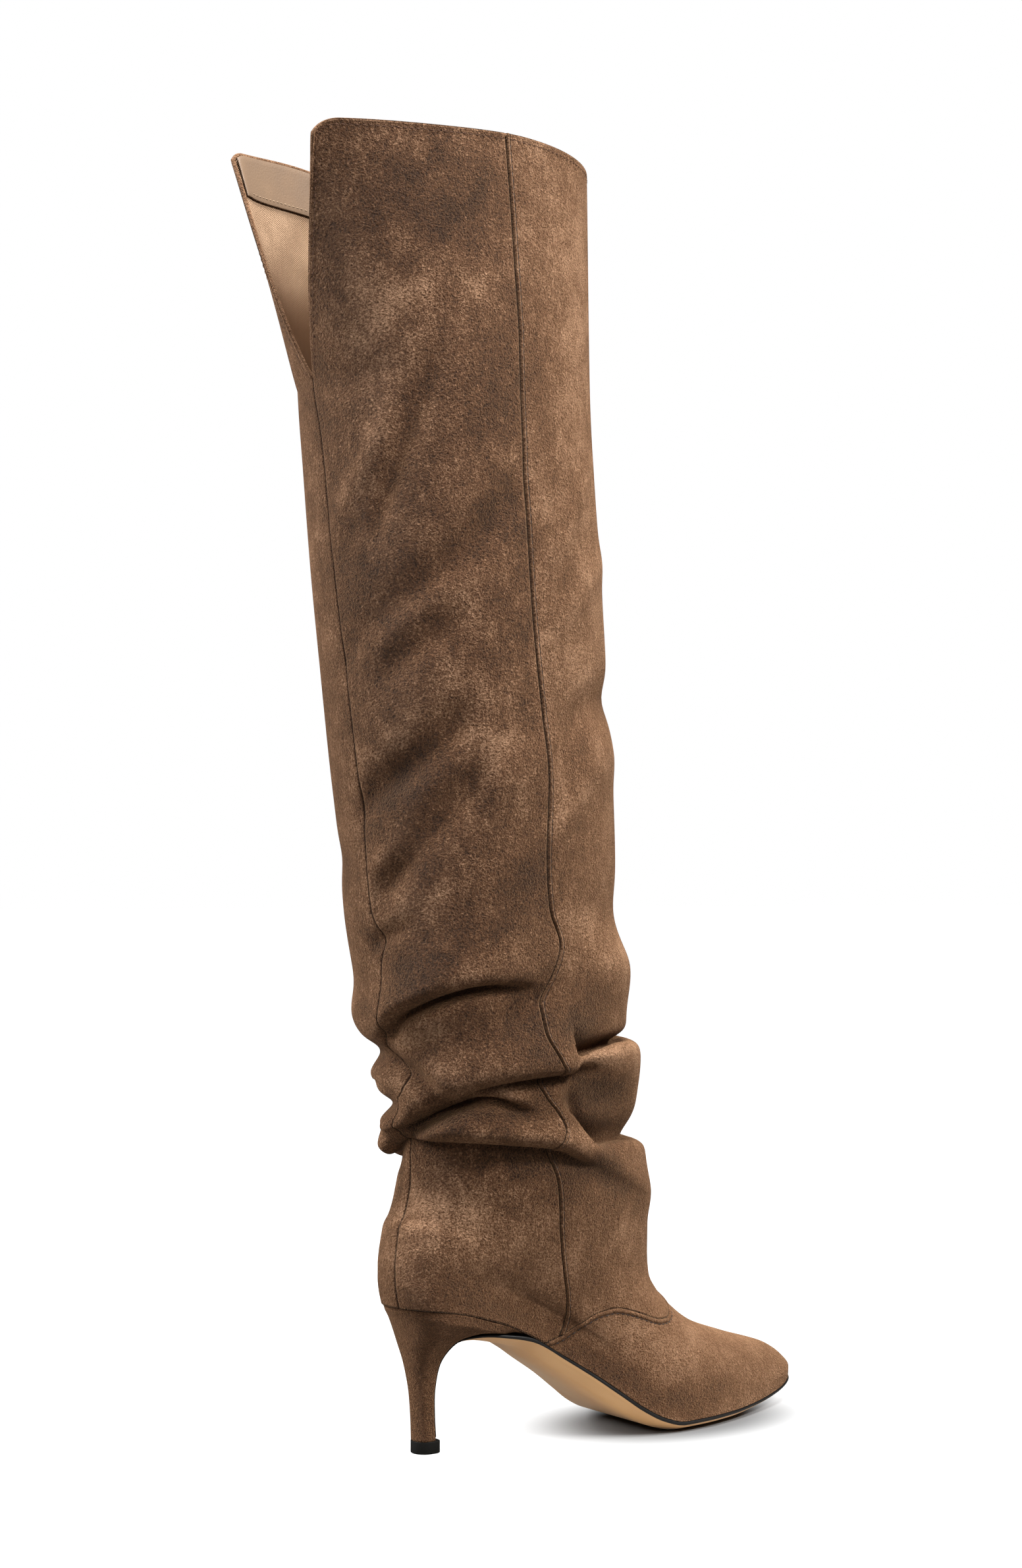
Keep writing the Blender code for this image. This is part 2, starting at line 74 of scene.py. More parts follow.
# Rings of the upper from the sole to the rim, each from a point on the back to one on the front.
ringNames = ("backX", "backZ", "frontX", "frontZ", "half", "soleShare", "follow", "rows")
rings = (
    (-19.0, 66.5, 219.5, 10.8, 30.0, 1.00, 1.00, 3),
    (-20.3, 72.0, 220.0, 15.2, 31.0, 1.00, 0.96, 4),
    (-21.0, 78.0, 214.5, 20.8, 32.0, 0.94, 0.88, 5),
    (-21.0, 84.0, 203.0, 27.6, 32.5, 0.86, 0.75, 8),
    (-20.3, 90.0, 174.0, 36.6, 33.0, 0.74, 0.58, 7),
    (-19.2, 96.0, 150.0, 45.0, 33.5, 0.58, 0.40, 5),
    (-18.0, 102.0, 137.0, 53.2, 34.0, 0.42, 0.26, 5),
    (-15.2, 107.0, 128.0, 61.2, 34.5, 0.28, 0.16, 5),
    (-13.4, 112.0, 122.5, 70.0, 35.0, 0.16, 0.08, 5),
    (-12.2, 117.0, 121.5, 81.0, 35.5, 0.08, 0.03, 5),
    (-11.5, 122.0, 121.5, 94.0, 36.5, 0.02, 0.00, 6),
    (-11.8, 128.0, 123.5, 108.0, 37.5, 0.00, 0.00, 22),
    (-15.0, 138.0, 120.0, 126.0, 39.0, 0.00, 0.00, 28),
    (-18.0, 152.0, 113.0, 148.0, 42.0, 0.00, 0.00, 28),
    (-21.5, 170.0, 108.5, 169.0, 45.0, 0.00, 0.00, 28),
    (-26.0, 190.0, 104.5, 190.0, 47.5, 0.00, 0.00, 26),
    (-30.5, 212.0, 101.5, 212.0, 50.0, 0.00, 0.00, 16),
    (-35.5, 240.0, 98.0, 240.0, 52.0, 0.00, 0.00, 12),
    (-38.5, 275.0, 96.5, 275.0, 54.0, 0.00, 0.00, 12),
    (-43.0, 310.0, 94.5, 310.0, 55.5, 0.00, 0.00, 13),
    (-47.5, 350.0, 91.0, 350.0, 57.0, 0.00, 0.00, 15),
    (-52.5, 395.0, 87.5, 395.0, 58.0, 0.00, 0.00, 15),
    (-56.5, 440.0, 83.5, 440.0, 58.5, 0.00, 0.00, 13),
    (-59.5, 477.0, 81.0, 477.0, 59.0, 0.00, 0.00, 46),
    (-63.0, 585.0, 79.0, 581.5, 60.0, 0.00, 0.00, 0),
)
topLevel = len(rings) - 1
slitLevel = topLevel - 1

# Where the seams lie round the leg at each ring level: 0 is the back, 90 the outer side.
sideSeam = (
    (0, 68), (1.5, 70), (2.2, 71.5), (3, 73.7), (4.3, 81.5), (5.3, 86.5), (6.2, 88.2), (7.2, 88.4), (8, 88),
    (8.8, 86.7), (9.6, 85.6), (10.3, 84.5), (11, 83), (11.5, 82.3), (12.2, 81), (12.5, 85), (12.8, 89),
    (13.1, 87), (13.5, 82), (13.8, 80), (14.1, 84), (14.4, 92), (14.6, 89), (15, 84), (15.45, 83.5),
    (16.05, 90), (16.6, 95), (17.1, 91), (17.7, 90), (18.7, 92), (19.5, 91), (20.65, 89.5), (22, 90),
    (23.2, 90.5), (23.6, 88), (24, 83.5),
)
backSeam = (
    (0, 8), (11, 8), (12, 8), (12.6, 5), (13, 4), (13.4, 8), (13.7, 15), (14, 18), (14.3, 10), (14.6, 4),
    (15, 8), (15.6, 12), (16.2, 13), (16.6, 16), (17.1, 10.5), (18, 9.5), (19, 9), (20.2, 7), (21.5, 5),
    (22.5, 3), (23, 0), (24, 0),
)
innerSeam = (
    (0, 65), (2, 66), (3, 68.5), (4, 73.5), (5, 78), (6, 81), (8, 83.5), (11, 84), (14, 90), (24, 90),
)

# Folds of the slouch. Out is the height of a lip or the depth of a trough, above and
# below are how far it spreads each way, droop is how far the lip hangs, tuck the hollow under it and fade
# how far that hollow runs out. A plain swell or trough has no droop or tuck.
# Path gives the fold's line as (angle round the leg, height of the lip, strength). A lip that is turned
# up opens like a pocket: its hollow lies over it, and above is then its spread downwards.
folds = {
    "swellBack": {"out": 4.4, "above": 10, "below": 9, "droop": 2.5, "path": (
        (-80, 189, 0), (-40, 189, 0.8), (-10, 187, 1), (30, 194, 0.6), (60, 201, 0))},
    "firstCrease": {"out": 3.8, "above": 14, "below": 3.2, "droop": 5.5, "tuck": 9.0, "fade": 5.0, "path": (
        (2, 193, 0), (12, 194.5, 0.5), (22, 198, 1), (30, 201, 1), (38, 204, 1), (49, 207.5, 0.95),
        (59, 210, 0.8), (71, 212, 0.45), (86, 213.5, 0))},
    "seamDrag": {"out": -2.5, "above": 7, "below": 7, "path": (
        (62, 196, 0), (74, 200, 1), (86, 206, 0.8), (100, 212, 0))},
    "frontSwell": {"out": 4.8, "above": 13, "below": 18, "path": (
        (100, 216, 0), (135, 216, 0.8), (160, 215, 1), (190, 213, 0.7), (225, 210, 0))},
    "frontSlot": {"out": 1.2, "above": 8, "below": 2.6, "droop": 6, "tuck": 11, "fade": 5, "turnedUp": True,
                  "path": (
        (97, 180, 0), (101, 181, 0.75), (107, 181, 1), (116, 181, 1), (130, 181.5, 1), (150, 181.5, 1),
        (180, 182, 0.7), (205, 183, 0))},
    "frontRoll": {"out": 4.2, "above": 8, "below": 15, "path": (
        (108, 170, 0), (128, 170, 0.7), (155, 170, 1), (185, 169, 0.8), (215, 168, 0))},
    "upperRoll": {"out": 4.6, "above": 10, "below": 4, "droop": 8, "tuck": 7.6, "fade": 6.5, "path": (
        (8, 157, 0), (20, 157, 0.5), (31, 158, 0.85), (41, 160, 1), (53, 163.5, 1), (64, 166, 1),
        (79, 168, 1), (91, 169, 1), (100, 170, 0.7), (112, 171, 0.3), (128, 172, 0))},
    "backDent": {"out": -5.0, "above": 4, "below": 4, "path": (
        (0, 175, 0), (10, 174, 0.7), (20, 172, 1), (31, 169, 0.9), (46, 165, 0))},
    "backUpper": {"out": -6.5, "above": 7, "below": 6, "path": (
        (-75, 181, 0), (-45, 179, 0.8), (-15, 178, 1), (4, 177, 0.7), (18, 178, 0))},
    "backRoll": {"out": 3.0, "above": 6, "below": 4, "droop": 3, "path": (
        (-70, 168, 0), (-40, 167, 0.9), (-15, 167, 1), (4, 165, 0.6), (20, 163, 0))},
    "backLower": {"out": -7.0, "above": 4, "below": 4, "path": (
        (-70, 155, 0), (-40, 155, 0.8), (-12, 155, 1), (6, 155, 0.8), (18, 154, 0))},
    "thinRoll": {"out": 3.4, "above": 4, "below": 2.6, "droop": 4.2, "tuck": 8.0, "fade": 4.6, "path": (
        (-60, 150, 0), (-35, 149, 0.4), (-12, 148, 0.5), (5, 149, 0.8), (20, 151, 1), (31, 154.5, 1),
        (40, 157.5, 1), (50, 160, 1), (59, 160.5, 0.8), (68, 159, 0.5), (78, 156, 0))},
    "lowerRoll": {"out": 5.2, "above": 6, "below": 4, "droop": 5, "tuck": 4.6, "fade": 9, "path": (
        (-75, 133, 0), (-45, 131.5, 1.1), (-18, 131.5, 1.35), (-3, 138, 1.15), (9, 141.5, 1),
        (25, 141, 0.95), (42, 140.5, 0.95), (57, 139.5, 0.95), (71, 138, 0.95), (85, 136, 0.9),
        (96, 132, 0.6), (110, 125, 0.3), (130, 117, 0.15), (150, 111, 0))},
    "frontHollow": {"out": -4.5, "above": 8, "below": 8, "path": (
        (88, 157, 0), (100, 158, 0.8), (112, 158, 1), (126, 157, 0.6), (145, 156, 0))},
    "frontCup": {"out": 0.4, "above": 8, "below": 3, "droop": 4.5, "tuck": 12, "fade": 11, "turnedUp": True,
                 "path": (
        (90, 151, 0), (96, 147.5, 0.25), (100, 142, 0.65), (105, 137.5, 0.95), (114, 135.5, 1),
        (126, 136, 1), (140, 135, 1), (160, 133.5, 1), (182, 134, 0.9), (210, 138, 0))},
    "ankleSwell": {"out": -1.0, "above": 9, "below": 9, "path": (
        (95, 139, 0), (113, 133, 0.8), (132, 128, 1), (153, 125, 1), (180, 122, 0.7), (215, 120, 0))},
    "shinDimple": {"out": -2.6, "above": 4, "below": 4, "path": (
        (4, 226, 0), (12, 229, 0.9), (20, 232, 1), (34, 238, 0))},
    "innerCrease": {"out": 2.6, "above": 12, "below": 5, "droop": 4.5, "tuck": 5.5, "path": (
        (215, 204, 0), (238, 206, 0.8), (262, 204, 1), (285, 198, 1), (305, 193, 0.7), (325, 190, 0))},
    "innerRoll": {"out": 4.4, "above": 10, "below": 4, "droop": 6.5, "tuck": 5.0, "path": (
        (190, 174, 0), (212, 172, 0.7), (238, 170, 1), (265, 168, 1), (290, 163, 0.9), (312, 159, 0.6),
        (330, 157, 0))},
    "innerLower": {"out": 5.0, "above": 9, "below": 4, "droop": 6, "tuck": 3.4, "path": (
        (180, 106, 0), (205, 118, 0.4), (228, 130, 0.7), (252, 138, 1), (275, 141, 1), (298, 138, 0.9),
        (320, 134, 0))},
}
# Soft drags of the shaft, which climb towards the front: depth, spread and path as (angle, height,
# strength).
shaftDrags = (
    (-2.6, 11, ((24, 405, 0), (33, 420, 0.9), (44, 448, 1), (53, 468, 0.8), (62, 490, 0))),
    (1.6, 10, ((2, 405, 0), (14, 418, 0.8), (32, 444, 1), (42, 462, 0))),
    (-2.9, 10, ((2, 346, 0), (12, 354, 0.6), (24, 364, 0.8), (48, 384, 1), (65, 399, 1),
                (80, 419, 0.8), (94, 436, 0))),
    (1.8, 8, ((4, 342, 0), (17, 355, 0.8), (36, 369, 1), (55, 383, 0.8), (72, 398, 0))),
    (-2.2, 8, ((20, 340, 0), (31, 349, 0.9), (50, 363, 1), (66, 374, 0))),
    (-3.8, 9, ((4, 284, 0), (17, 294, 0.9), (36, 306, 1), (50, 318, 1), (66, 330, 0))),
    (2.0, 14, ((60, 292, 0), (74, 300, 1), (86, 306, 0.9), (100, 312, 0))),
    (-3.4, 9, ((10, 246, 0), (22, 256, 0.9), (40, 276, 1), (55, 292, 0.9), (70, 306, 0))),
    (1.8, 7, ((8, 258, 0), (21, 265, 1), (35, 272, 1), (48, 284, 0))),
    (1.2, 9, ((96, 394, 0), (107, 407, 1), (119, 426, 1), (138, 446, 0))),
    (1.3, 9, ((94, 366, 0), (108, 377, 1), (126, 392, 1), (150, 402, 0.8), (180, 400, 0))),
    (-3.2, 10, ((96, 318, 0), (110, 330, 0.7), (129, 337, 1), (150, 339, 1), (185, 338, 0.7),
                (220, 336, 0))),
    (1.4, 10, ((90, 274, 0), (100, 284, 0.9), (119, 306, 1), (145, 312, 0.9), (180, 310, 0))),
    (-1.6, 12, ((100, 238, 0), (140, 242, 0.9), (180, 244, 1), (220, 242, 0))),
    (-1.4, 12, ((230, 300, 0), (255, 318, 0.9), (285, 340, 1), (320, 362, 0))),
    (-1.5, 12, ((235, 384, 0), (262, 402, 1), (295, 424, 0.9), (325, 440, 0))),
    (-1.2, 9, ((318, 262, 0), (335, 266, 1), (350, 266, 1), (364, 262, 0))),
)
# Marks of the nap's own pale and dark patches, with painted shade under lips and in pockets and painted
# highlights on lip tops: angle, height, half width in degrees, half height, lean and shift of tone in
# thousandths.
napAndShadingMarks = (
    (42, 557, 32, 20, 0, -24), (64, 541, 11, 13, 0, -56), (22, 522, 10, 15, 0.2, 38),
    (36, 498, 12, 18, 0.2, 36), (50, 508, 12, 12, 0, 28), (71, 514, 10, 10, 0, 22),
    (124, 500, 10, 36, 0, 30), (98, 495, 7, 45, 0, -26), (128, 390, 10, 12, 0, 25),
    (112, 425, 9, 12, -0.5, -24), (118, 352, 12, 22, 0, 26), (118, 283, 10, 10, 0, 24),
    (84, 245, 14, 16, 0, -30), (58, 322, 9, 14, 0.3, 26), (118, 545, 20, 26, 0, 22),
    (108, 550, 9, 5, 0, -20), (85, 488, 10, 16, 0, -26), (80, 467, 12, 20, 0, -26),
    (65, 464, 10, 9, 0.5, -24), (102, 458, 8, 16, -1, -30), (32, 436, 7, 16, 0.3, 38),
    (63, 432, 9, 12, 0, 20), (82, 416, 11, 17, 0, -46), (43, 410, 9, 10, 0.4, -18),
    (19, 394, 14, 16, 0.4, -20), (63, 381, 18, 11, 0.6, 18), (41, 375, 9, 8, 0.7, -26),
    (86, 352, 4, 50, 0, -24), (51, 346, 12, 12, 0.4, 20), (28, 337, 9, 7, 0.5, -24),
    (32, 318, 18, 8, 0.6, 50), (71, 312, 13, 15, 0.2, 40), (109, 313, 12, 12, -0.5, -40),
    (110, 383, 8, 14, -0.6, -28), (34, 296, 16, 9, 0.6, -48), (57, 279, 12, 12, 0.3, 18),
    (21, 264, 8, 8, 0.5, 60), (38, 244, 16, 6, 0.3, 30), (41, 263, 8, 9, 0.6, -30),
    (82, 264, 9, 12, 0, -34), (109, 268, 10, 18, 0.4, -34), (66, 250, 12, 12, 0, -26),
    (12, 244, 12, 10, 0, 34), (46, 226, 16, 9, 0.3, -46), (28, 215, 15, 12, 0.4, -58),
    (4, 201, 12, 8, 0, -40), (8, 470, 9, 30, 0, -18), (14, 365, 8, 40, 0, -18),
    (16, 283, 12, 9, 0.6, -30), (110, 206, 20, 12, 0, -40), (88, 189, 26, 9, 0.2, -65),
    (55, 164, 28, 5, 0.12, 40), (118, 174, 22, 4, 0.03, 30), (108, 160, 24, 7, 0.1, -70),
    (126, 156, 16, 9, 0, -40), (128, 182, 26, 2.4, 0.03, -60), (128, 138, 22, 5, 0.05, 40),
    (28, 150, 16, 3, 0.15, -50), (50, 152, 24, 4.5, 0, -65), (27, 187, 20, 6, 0.2, 65),
    (72, 128, 34, 5, -0.06, -35), (86, 120, 30, 9, -0.15, -28), (116, 119, 18, 10, -0.5, -75),
    (26, 108, 18, 16, 0, 34), (56, 102, 14, 9, -0.3, 24), (97, 104, 6, 14, 0, 14),
    (128, 88, 12, 14, 0, 18), (38, 77, 18, 7, -0.55, -20), (112, 16, 16, 6, 0, -40),
    (86, 27, 24, 9, -0.95, -60), (45, 67, 16, 6, -0.5, -35), (100, 190, 16, 8, 0.1, -40),
)
noseLag = 0.75      # how far under its widest line a lip hangs lowest, as a share of below
tuckDrop = 3.5      # how far under a lip's spread its hollow is deepest
tuckSpread = 0.8    # how much wider than the lip the hollow is
sideSeams = (0.25, 0.75)     # shares of the way round the leg: outer side, inner side
farAway = 50.0      # a distance that stands for nowhere near, in the marks on the meshes


def monotone(xs, ys, at):
    # smooth curve through a table, without overshoot
    xs, ys = np.asarray(xs, float), np.asarray(ys, float)
    step = np.diff(xs)
    slope = np.diff(ys) / step
    tangent = np.empty_like(ys)
    tangent[0], tangent[-1] = slope[0], slope[-1]
    left, right = slope[:-1], slope[1:]
    weight = 1.0 + step[1:] / (step[:-1] + step[1:])
    with np.errstate(divide="ignore", invalid="ignore"):
        mean = 3.0 / (weight / left + (3.0 - weight) / right)
    tangent[1:-1] = np.where(left * right > 0.0, mean, 0.0)
    at = np.clip(np.asarray(at, float), xs[0], xs[-1])
    i = np.clip(np.searchsorted(xs, at) - 1, 0, len(step) - 1)
    t = (at - xs[i]) / step[i]
    value = (2 * t**3 - 3 * t**2 + 1) * ys[i] + (3 * t**2 - 2 * t**3) * ys[i + 1]
    return value + step[i] * ((t**3 - 2 * t**2 + t) * tangent[i] + (t**3 - t**2) * tangent[i + 1])


def tableCurve(rows, at):
    xs, ys = zip(*rows)
    return monotone(xs, ys, at)


def columnCurve(table, names, name, level):
    # one named column of a table of rings, smooth from ring to ring
    place = names.index(name)
    return monotone(range(len(table)), [row[place] for row in table], level)


def ringSize(name, level):
    return columnCurve(rings, ringNames, name, level)


def outlineHalf(share, place=None):
    # place is where along the foot the fullness is read, if it isn't the share itself
    full = monotone(outline["share"], outline["fullness"], share if place is None else place)
    return 2.0 * full * np.sqrt(np.clip(share * (1.0 - share), 0.0, None))


def outlineCentre(share):
    return monotone(outline["share"], outline["centre"], share)


def featherZ(x):
    return monotone(feather["x"], feather["z"], x)


def featherShare(x):
    return (x - bootForm["backX"]) / (bootForm["toeX"] - bootForm["backX"])


def legAngle(around, level):
    # quarter shares land on the back seam, outer side seam, front and inner side seam
    back, side = tableCurve(backSeam, level), tableCurve(sideSeam, level)
    inner = 360.0 - tableCurve(innerSeam, level)
    stops = (back, side, 180.0 + 0.0 * back, inner, 360.0 + back)
    quarter = np.clip(np.floor(around * 4.0), 0, 3)
    t = around * 4.0 - quarter
    angle = np.zeros(np.broadcast(around, level).shape)
    for i in range(4):
        angle = np.where(quarter == i, stops[i] + t * (stops[i + 1] - stops[i]), angle)
    return angle


def foldLine(path, angle):
    # height and strength of a path at each angle round the leg; no strength past its ends
    turns, heights, strengths = (np.array(part, float) for part in zip(*path))
    middle = 0.5 * (turns[0] + turns[-1])
    turn = (angle - middle + 180.0) % 360.0 - 180.0 + middle
    inside = (turn > turns[0]) & (turn < turns[-1])
    return monotone(turns, heights, turn), np.where(inside, monotone(turns, strengths, turn), 0.0)


def bell(away, spread):
    return np.exp(-((away / spread) ** 2))


def foldShift(angle, height):
    out, down = np.zeros_like(height), np.zeros_like(height)
    for fold in folds.values():
        lip, strength = foldLine(fold["path"], angle)
        above, below = fold["above"], fold["below"]
        droop, tuck = fold.get("droop", 0.0), fold.get("tuck", 0.0)
        flip = -1.0 if fold.get("turnedUp") else 1.0
        lag = noseLag * below if droop else 0.0
        across = flip * (height - lip - flip * (droop + lag) * strength)
        out += fold["out"] * strength * bell(across, np.where(across > 0.0, above, below))
        if droop:
            hang = across + lag
            down += flip * droop * strength * bell(hang, np.where(hang > 0.0, above, noseLag * below))
        if tuck:
            under = across + below + tuckDrop
            wide = below + tuckSpread
            out -= tuck * strength * bell(under, np.where(under > 0.0, wide, fold.get("fade", wide)))
    for depth, spread, path in shaftDrags:
        line, strength = foldLine(path, angle)
        out += depth * strength * bell(height - line, spread)
    return out, down


def napAndShadingTone(angle, height):
    shift = np.zeros_like(height)
    for turn, level, wide, high, lean, amount in napAndShadingMarks:
        across = (angle - turn + 180.0) % 360.0 - 180.0
        up = height - level - lean * across
        shift += 0.001 * amount * np.exp(-((across / wide) ** 2) - (up / high) ** 2)
    return shift


def slitOpening(height):
    rise = (height - bootForm["notchZ"]) / (bootForm["rimZ"] - bootForm["notchZ"])
    return np.clip(rise, 0.0, None) ** 0.9


def cornerDrop(fromBack, opening, radius):
    inset = np.radians(fromBack - bootForm["notchAngle"] * opening) * bootForm["rimRadius"]
    short = np.clip(radius - inset, 0.0, radius)
    return radius - np.sqrt(radius**2 - short**2)


def shellPoint(around, level, foldShare=1.0):
    # outer face of the upper; around runs from the back seam through outer side, front and inner side
    around, level = np.broadcast_arrays(np.asarray(around, float), np.asarray(level, float))
    angle = legAngle(around, level)
    outerSide = (angle <= 180.0) | (angle > 360.0)
    fromBack = np.where(angle <= 180.0, angle, np.abs(360.0 - angle))
    backX, backZ = ringSize("backX", level), ringSize("backZ", level)
    frontX, frontZ = ringSize("frontX", level), ringSize("frontZ", level)
    opening = slitOpening(backZ)
    spread = bootForm["notchAngle"] * opening * (1.0 - fromBack / 90.0)
    fromBack = fromBack + np.where(fromBack < 90.0, spread, 0.0)
    share = 0.5 - 0.5 * np.cos(np.radians(fromBack))
    keep, follow = ringSize("soleShare", level), ringSize("follow", level)
    footX = bootForm["backX"] + share * (bootForm["toeX"] - bootForm["backX"])
    chordZ = feather["z"][0] + share * (feather["z"][-1] - feather["z"][0])
    x = backX + share * (frontX - backX)
    place = np.clip(featherShare(x), 0.0, 1.0)
    half = (1.0 - keep) * ringSize("half", level) * np.sin(np.radians(fromBack))
    half = half + keep * outlineHalf(share, place)
    y = keep * outlineCentre(place) + np.where(outerSide, -half, half)
    z = backZ + share * (frontZ - backZ) + follow * (featherZ(footX) - chordZ)
    out, down = foldShift(angle, z)
    middleX = 0.5 * (backX + frontX)
    reach = np.maximum(np.hypot(x - middleX, y), 1e-6)
    x = x + foldShare * out * (x - middleX) / reach
    y = y + foldShare * out * y / reach
    z = z - foldShare * down
    nearSlit = np.cos(np.radians(fromBack)) / np.cos(np.radians(bootForm["notchAngle"] * opening))
    flare = np.where(outerSide, bootForm["flareOuter"], bootForm["flareInner"])
    onFlap = (opening > 0.0) & (share < 0.5)
    x = x - np.where(onFlap, flare * opening * nearSlit**2, 0.0)
    radius = np.where(outerSide, bootForm["cornerOuter"], bootForm["cornerInner"])
    z = z - np.where(onFlap, cornerDrop(fromBack, opening, radius) * opening**6, 0.0)
    z = z + opening**2 * np.where(outerSide, tableCurve(rimOuter, fromBack), tableCurve(rimInner, fromBack))
    return np.stack([x, y, z], axis=-1)


def unit(vectors):
    return vectors / np.maximum(np.linalg.norm(vectors, axis=-1, keepdims=True), 1e-9)


def ramp(value, low, high):
    return np.clip((value - low) / (high - low), 0.0, 1.0)


def runAlong(points):
    # distance along a line, or along each row of a grid, from its first point
    step = np.linalg.norm(np.diff(points, axis=-2), axis=-1)
    return np.concatenate([np.zeros_like(step[..., :1]), np.cumsum(step, axis=-1)], axis=-1)


def shellNormal(around, level, foldShare=1.0):
    around, level = np.broadcast_arrays(np.asarray(around, float), np.asarray(level, float))
    step = 0.003
    closed = level <= slitLevel
    ahead = np.where(closed, (around + step) % 1.0, np.minimum(around + step, 1.0))
    behind = np.where(closed, (around - step) % 1.0, np.maximum(around - step, 0.0))
    run = shellPoint(ahead, level, foldShare) - shellPoint(behind, level, foldShare)
    climb = shellPoint(around, np.minimum(level + 2 * step, topLevel), foldShare)
    climb = climb - shellPoint(around, np.maximum(level - 2 * step, 0.0), foldShare)
    return unit(np.cross(run, climb))


def innerPoint(around, level, depth, foldShare=1.0):
    inward = np.asarray(depth, float)[..., None] * shellNormal(around, level, foldShare)
    return shellPoint(around, level, foldShare) - inward


mergeGap = 0.02 * mm     # points of a grid this close together become one


def gridPiece(name, points, marks=None, uv=None, fill=False, outward=False):
    # a grid primitive whose points are moved to (rows, columns, 3) places in millimetres
    rowCount, columnCount = points.shape[:2]
    bpy.ops.object.select_all(action="DESELECT")
    bpy.ops.mesh.primitive_grid_add(x_subdivisions=columnCount - 1, y_subdivisions=rowCount - 1, size=2.0)
    piece = bpy.context.object
    piece.name = piece.data.name = name
    mesh = piece.data
    flat = np.empty(len(mesh.vertices) * 3)
    mesh.vertices.foreach_get("co", flat)
    flat = flat.reshape(-1, 3)
    column = np.rint((flat[:, 0] * 0.5 + 0.5) * (columnCount - 1)).astype(int)
    row = np.rint((flat[:, 1] * 0.5 + 0.5) * (rowCount - 1)).astype(int)
    mesh.vertices.foreach_set("co", (points[row, column] * mm).ravel())
    for mark, values in (marks or {}).items():
        layer = mesh.attributes.new(mark, "FLOAT", "POINT")
        layer.data.foreach_set("value", values[row, column].astype(np.float32))
    if uv is not None:
        corners = np.empty(len(mesh.loops), int)
        mesh.loops.foreach_get("vertex_index", corners)
        mesh.uv_layers.active.data.foreach_set("uv", uv[row, column][corners].astype(np.float32).ravel())
    bpy.ops.object.mode_set(mode="EDIT")
    bpy.ops.mesh.select_all(action="SELECT")
    bpy.ops.mesh.remove_doubles(threshold=mergeGap)
    if fill:
        bpy.ops.mesh.fill_holes(sides=0)
    if fill or outward:
        bpy.ops.mesh.normals_make_consistent(inside=False)
    bpy.ops.object.mode_set(mode="OBJECT")
    bpy.ops.object.shade_smooth()
    return piece


def finishPiece(piece, nodes=(), materials=()):
    for material in materials:
        piece.data.materials.append(material)
    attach(piece, "root")
    if nodes:
        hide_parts(*nodes)
    print("made", piece.name, len(piece.data.polygons), "faces")


def tone(red, green, blue):
    # a colour given 0 to 255, as the linear value that a shader takes
    shares = [v / 255.0 for v in (red, green, blue)]
    linear = [v / 12.92 if v <= 0.04045 else ((v + 0.055) / 1.055) ** 2.4 for v in shares]
    return (*linear, 1.0)


def setInputs(tree, node, **inputs):
    # an input goes by its name, with _ for a space, or by its place as in0, in1 and so on
    for name, value in inputs.items():
        socket = node.inputs[int(name[2:]) if name.startswith("in") else name.replace("_", " ")]
        if isinstance(value, bpy.types.NodeSocket):
            tree.links.new(value, socket)
        else:
            socket.default_value = value


def addNode(tree, kind, settings=None, **inputs):
    node = tree.nodes.new(kind)
    for name, value in (settings or {}).items():
        setattr(node, name, value)
    setInputs(tree, node, **inputs)
    return node


def mathNode(tree, operation, first, second=None):
    inputs = {"in0": first} if second is None else {"in0": first, "in1": second}
    return addNode(tree, "ShaderNodeMath", {"operation": operation}, **inputs).outputs[0]


def remap(tree, value, low, high, newLow=0.0, newHigh=1.0, smooth=True):
    kind = {"interpolation_type": "SMOOTHSTEP" if smooth else "LINEAR"}
    node = addNode(tree, "ShaderNodeMapRange", kind, Value=value, From_Min=low, From_Max=high,
                   To_Min=newLow, To_Max=newHigh)
    return node.outputs["Result"]


def mixColour(tree, factor, first, second):
    node = addNode(tree, "ShaderNodeMix", {"data_type": "RGBA"}, in0=factor, in6=first, in7=second)
    return node.outputs[2]


def meshMark(tree, name):
    return addNode(tree, "ShaderNodeAttribute", {"attribute_name": name}).outputs["Fac"]


def bumpNormal(tree, height, distance, strength):
    bump = addNode(tree, "ShaderNodeBump", None, Strength=strength, Distance=distance, Height=height)
    return bump.outputs["Normal"]


def colourRamp(tree, factor, stops):
    node = addNode(tree, "ShaderNodeValToRGB", None, in0=factor)
    ramp = node.color_ramp
    while len(ramp.elements) < len(stops):
        ramp.elements.new(0.5)
    for element, (place, colour) in zip(ramp.elements, stops):
        element.position = place
        element.color = colour
    return node.outputs["Color"]


def noise(tree, coordinate, scale, detail=2.0, roughness=0.5, distortion=0.0):
    node = addNode(tree, "ShaderNodeTexNoise", None, Vector=coordinate, Scale=scale, Detail=detail,
                   Roughness=roughness, Distortion=distortion)
    return node.outputs["Fac"]


def newMaterial(name, roughness):
    material = bpy.data.materials.new(name)
    material.use_nodes = True
    tree = material.node_tree
    shader = tree.nodes["Principled BSDF"]
    setInputs(tree, shader, Roughness=roughness)
    return material, tree, shader


def newGroup(name, inputs, outputs):
    group = bpy.data.node_groups.new(name, "ShaderNodeTree")
    for label, kind, value in inputs:
        socket = group.interface.new_socket(label, in_out="INPUT", socket_type=kind)
        if value is not None:
            socket.default_value = value
    for label, kind in outputs:
        group.interface.new_socket(label, in_out="OUTPUT", socket_type=kind)
    return group, group.nodes.new("NodeGroupInput"), group.nodes.new("NodeGroupOutput")


def useGroup(tree, group, **inputs):
    return addNode(tree, "ShaderNodeGroup", {"node_tree": group}, **inputs)


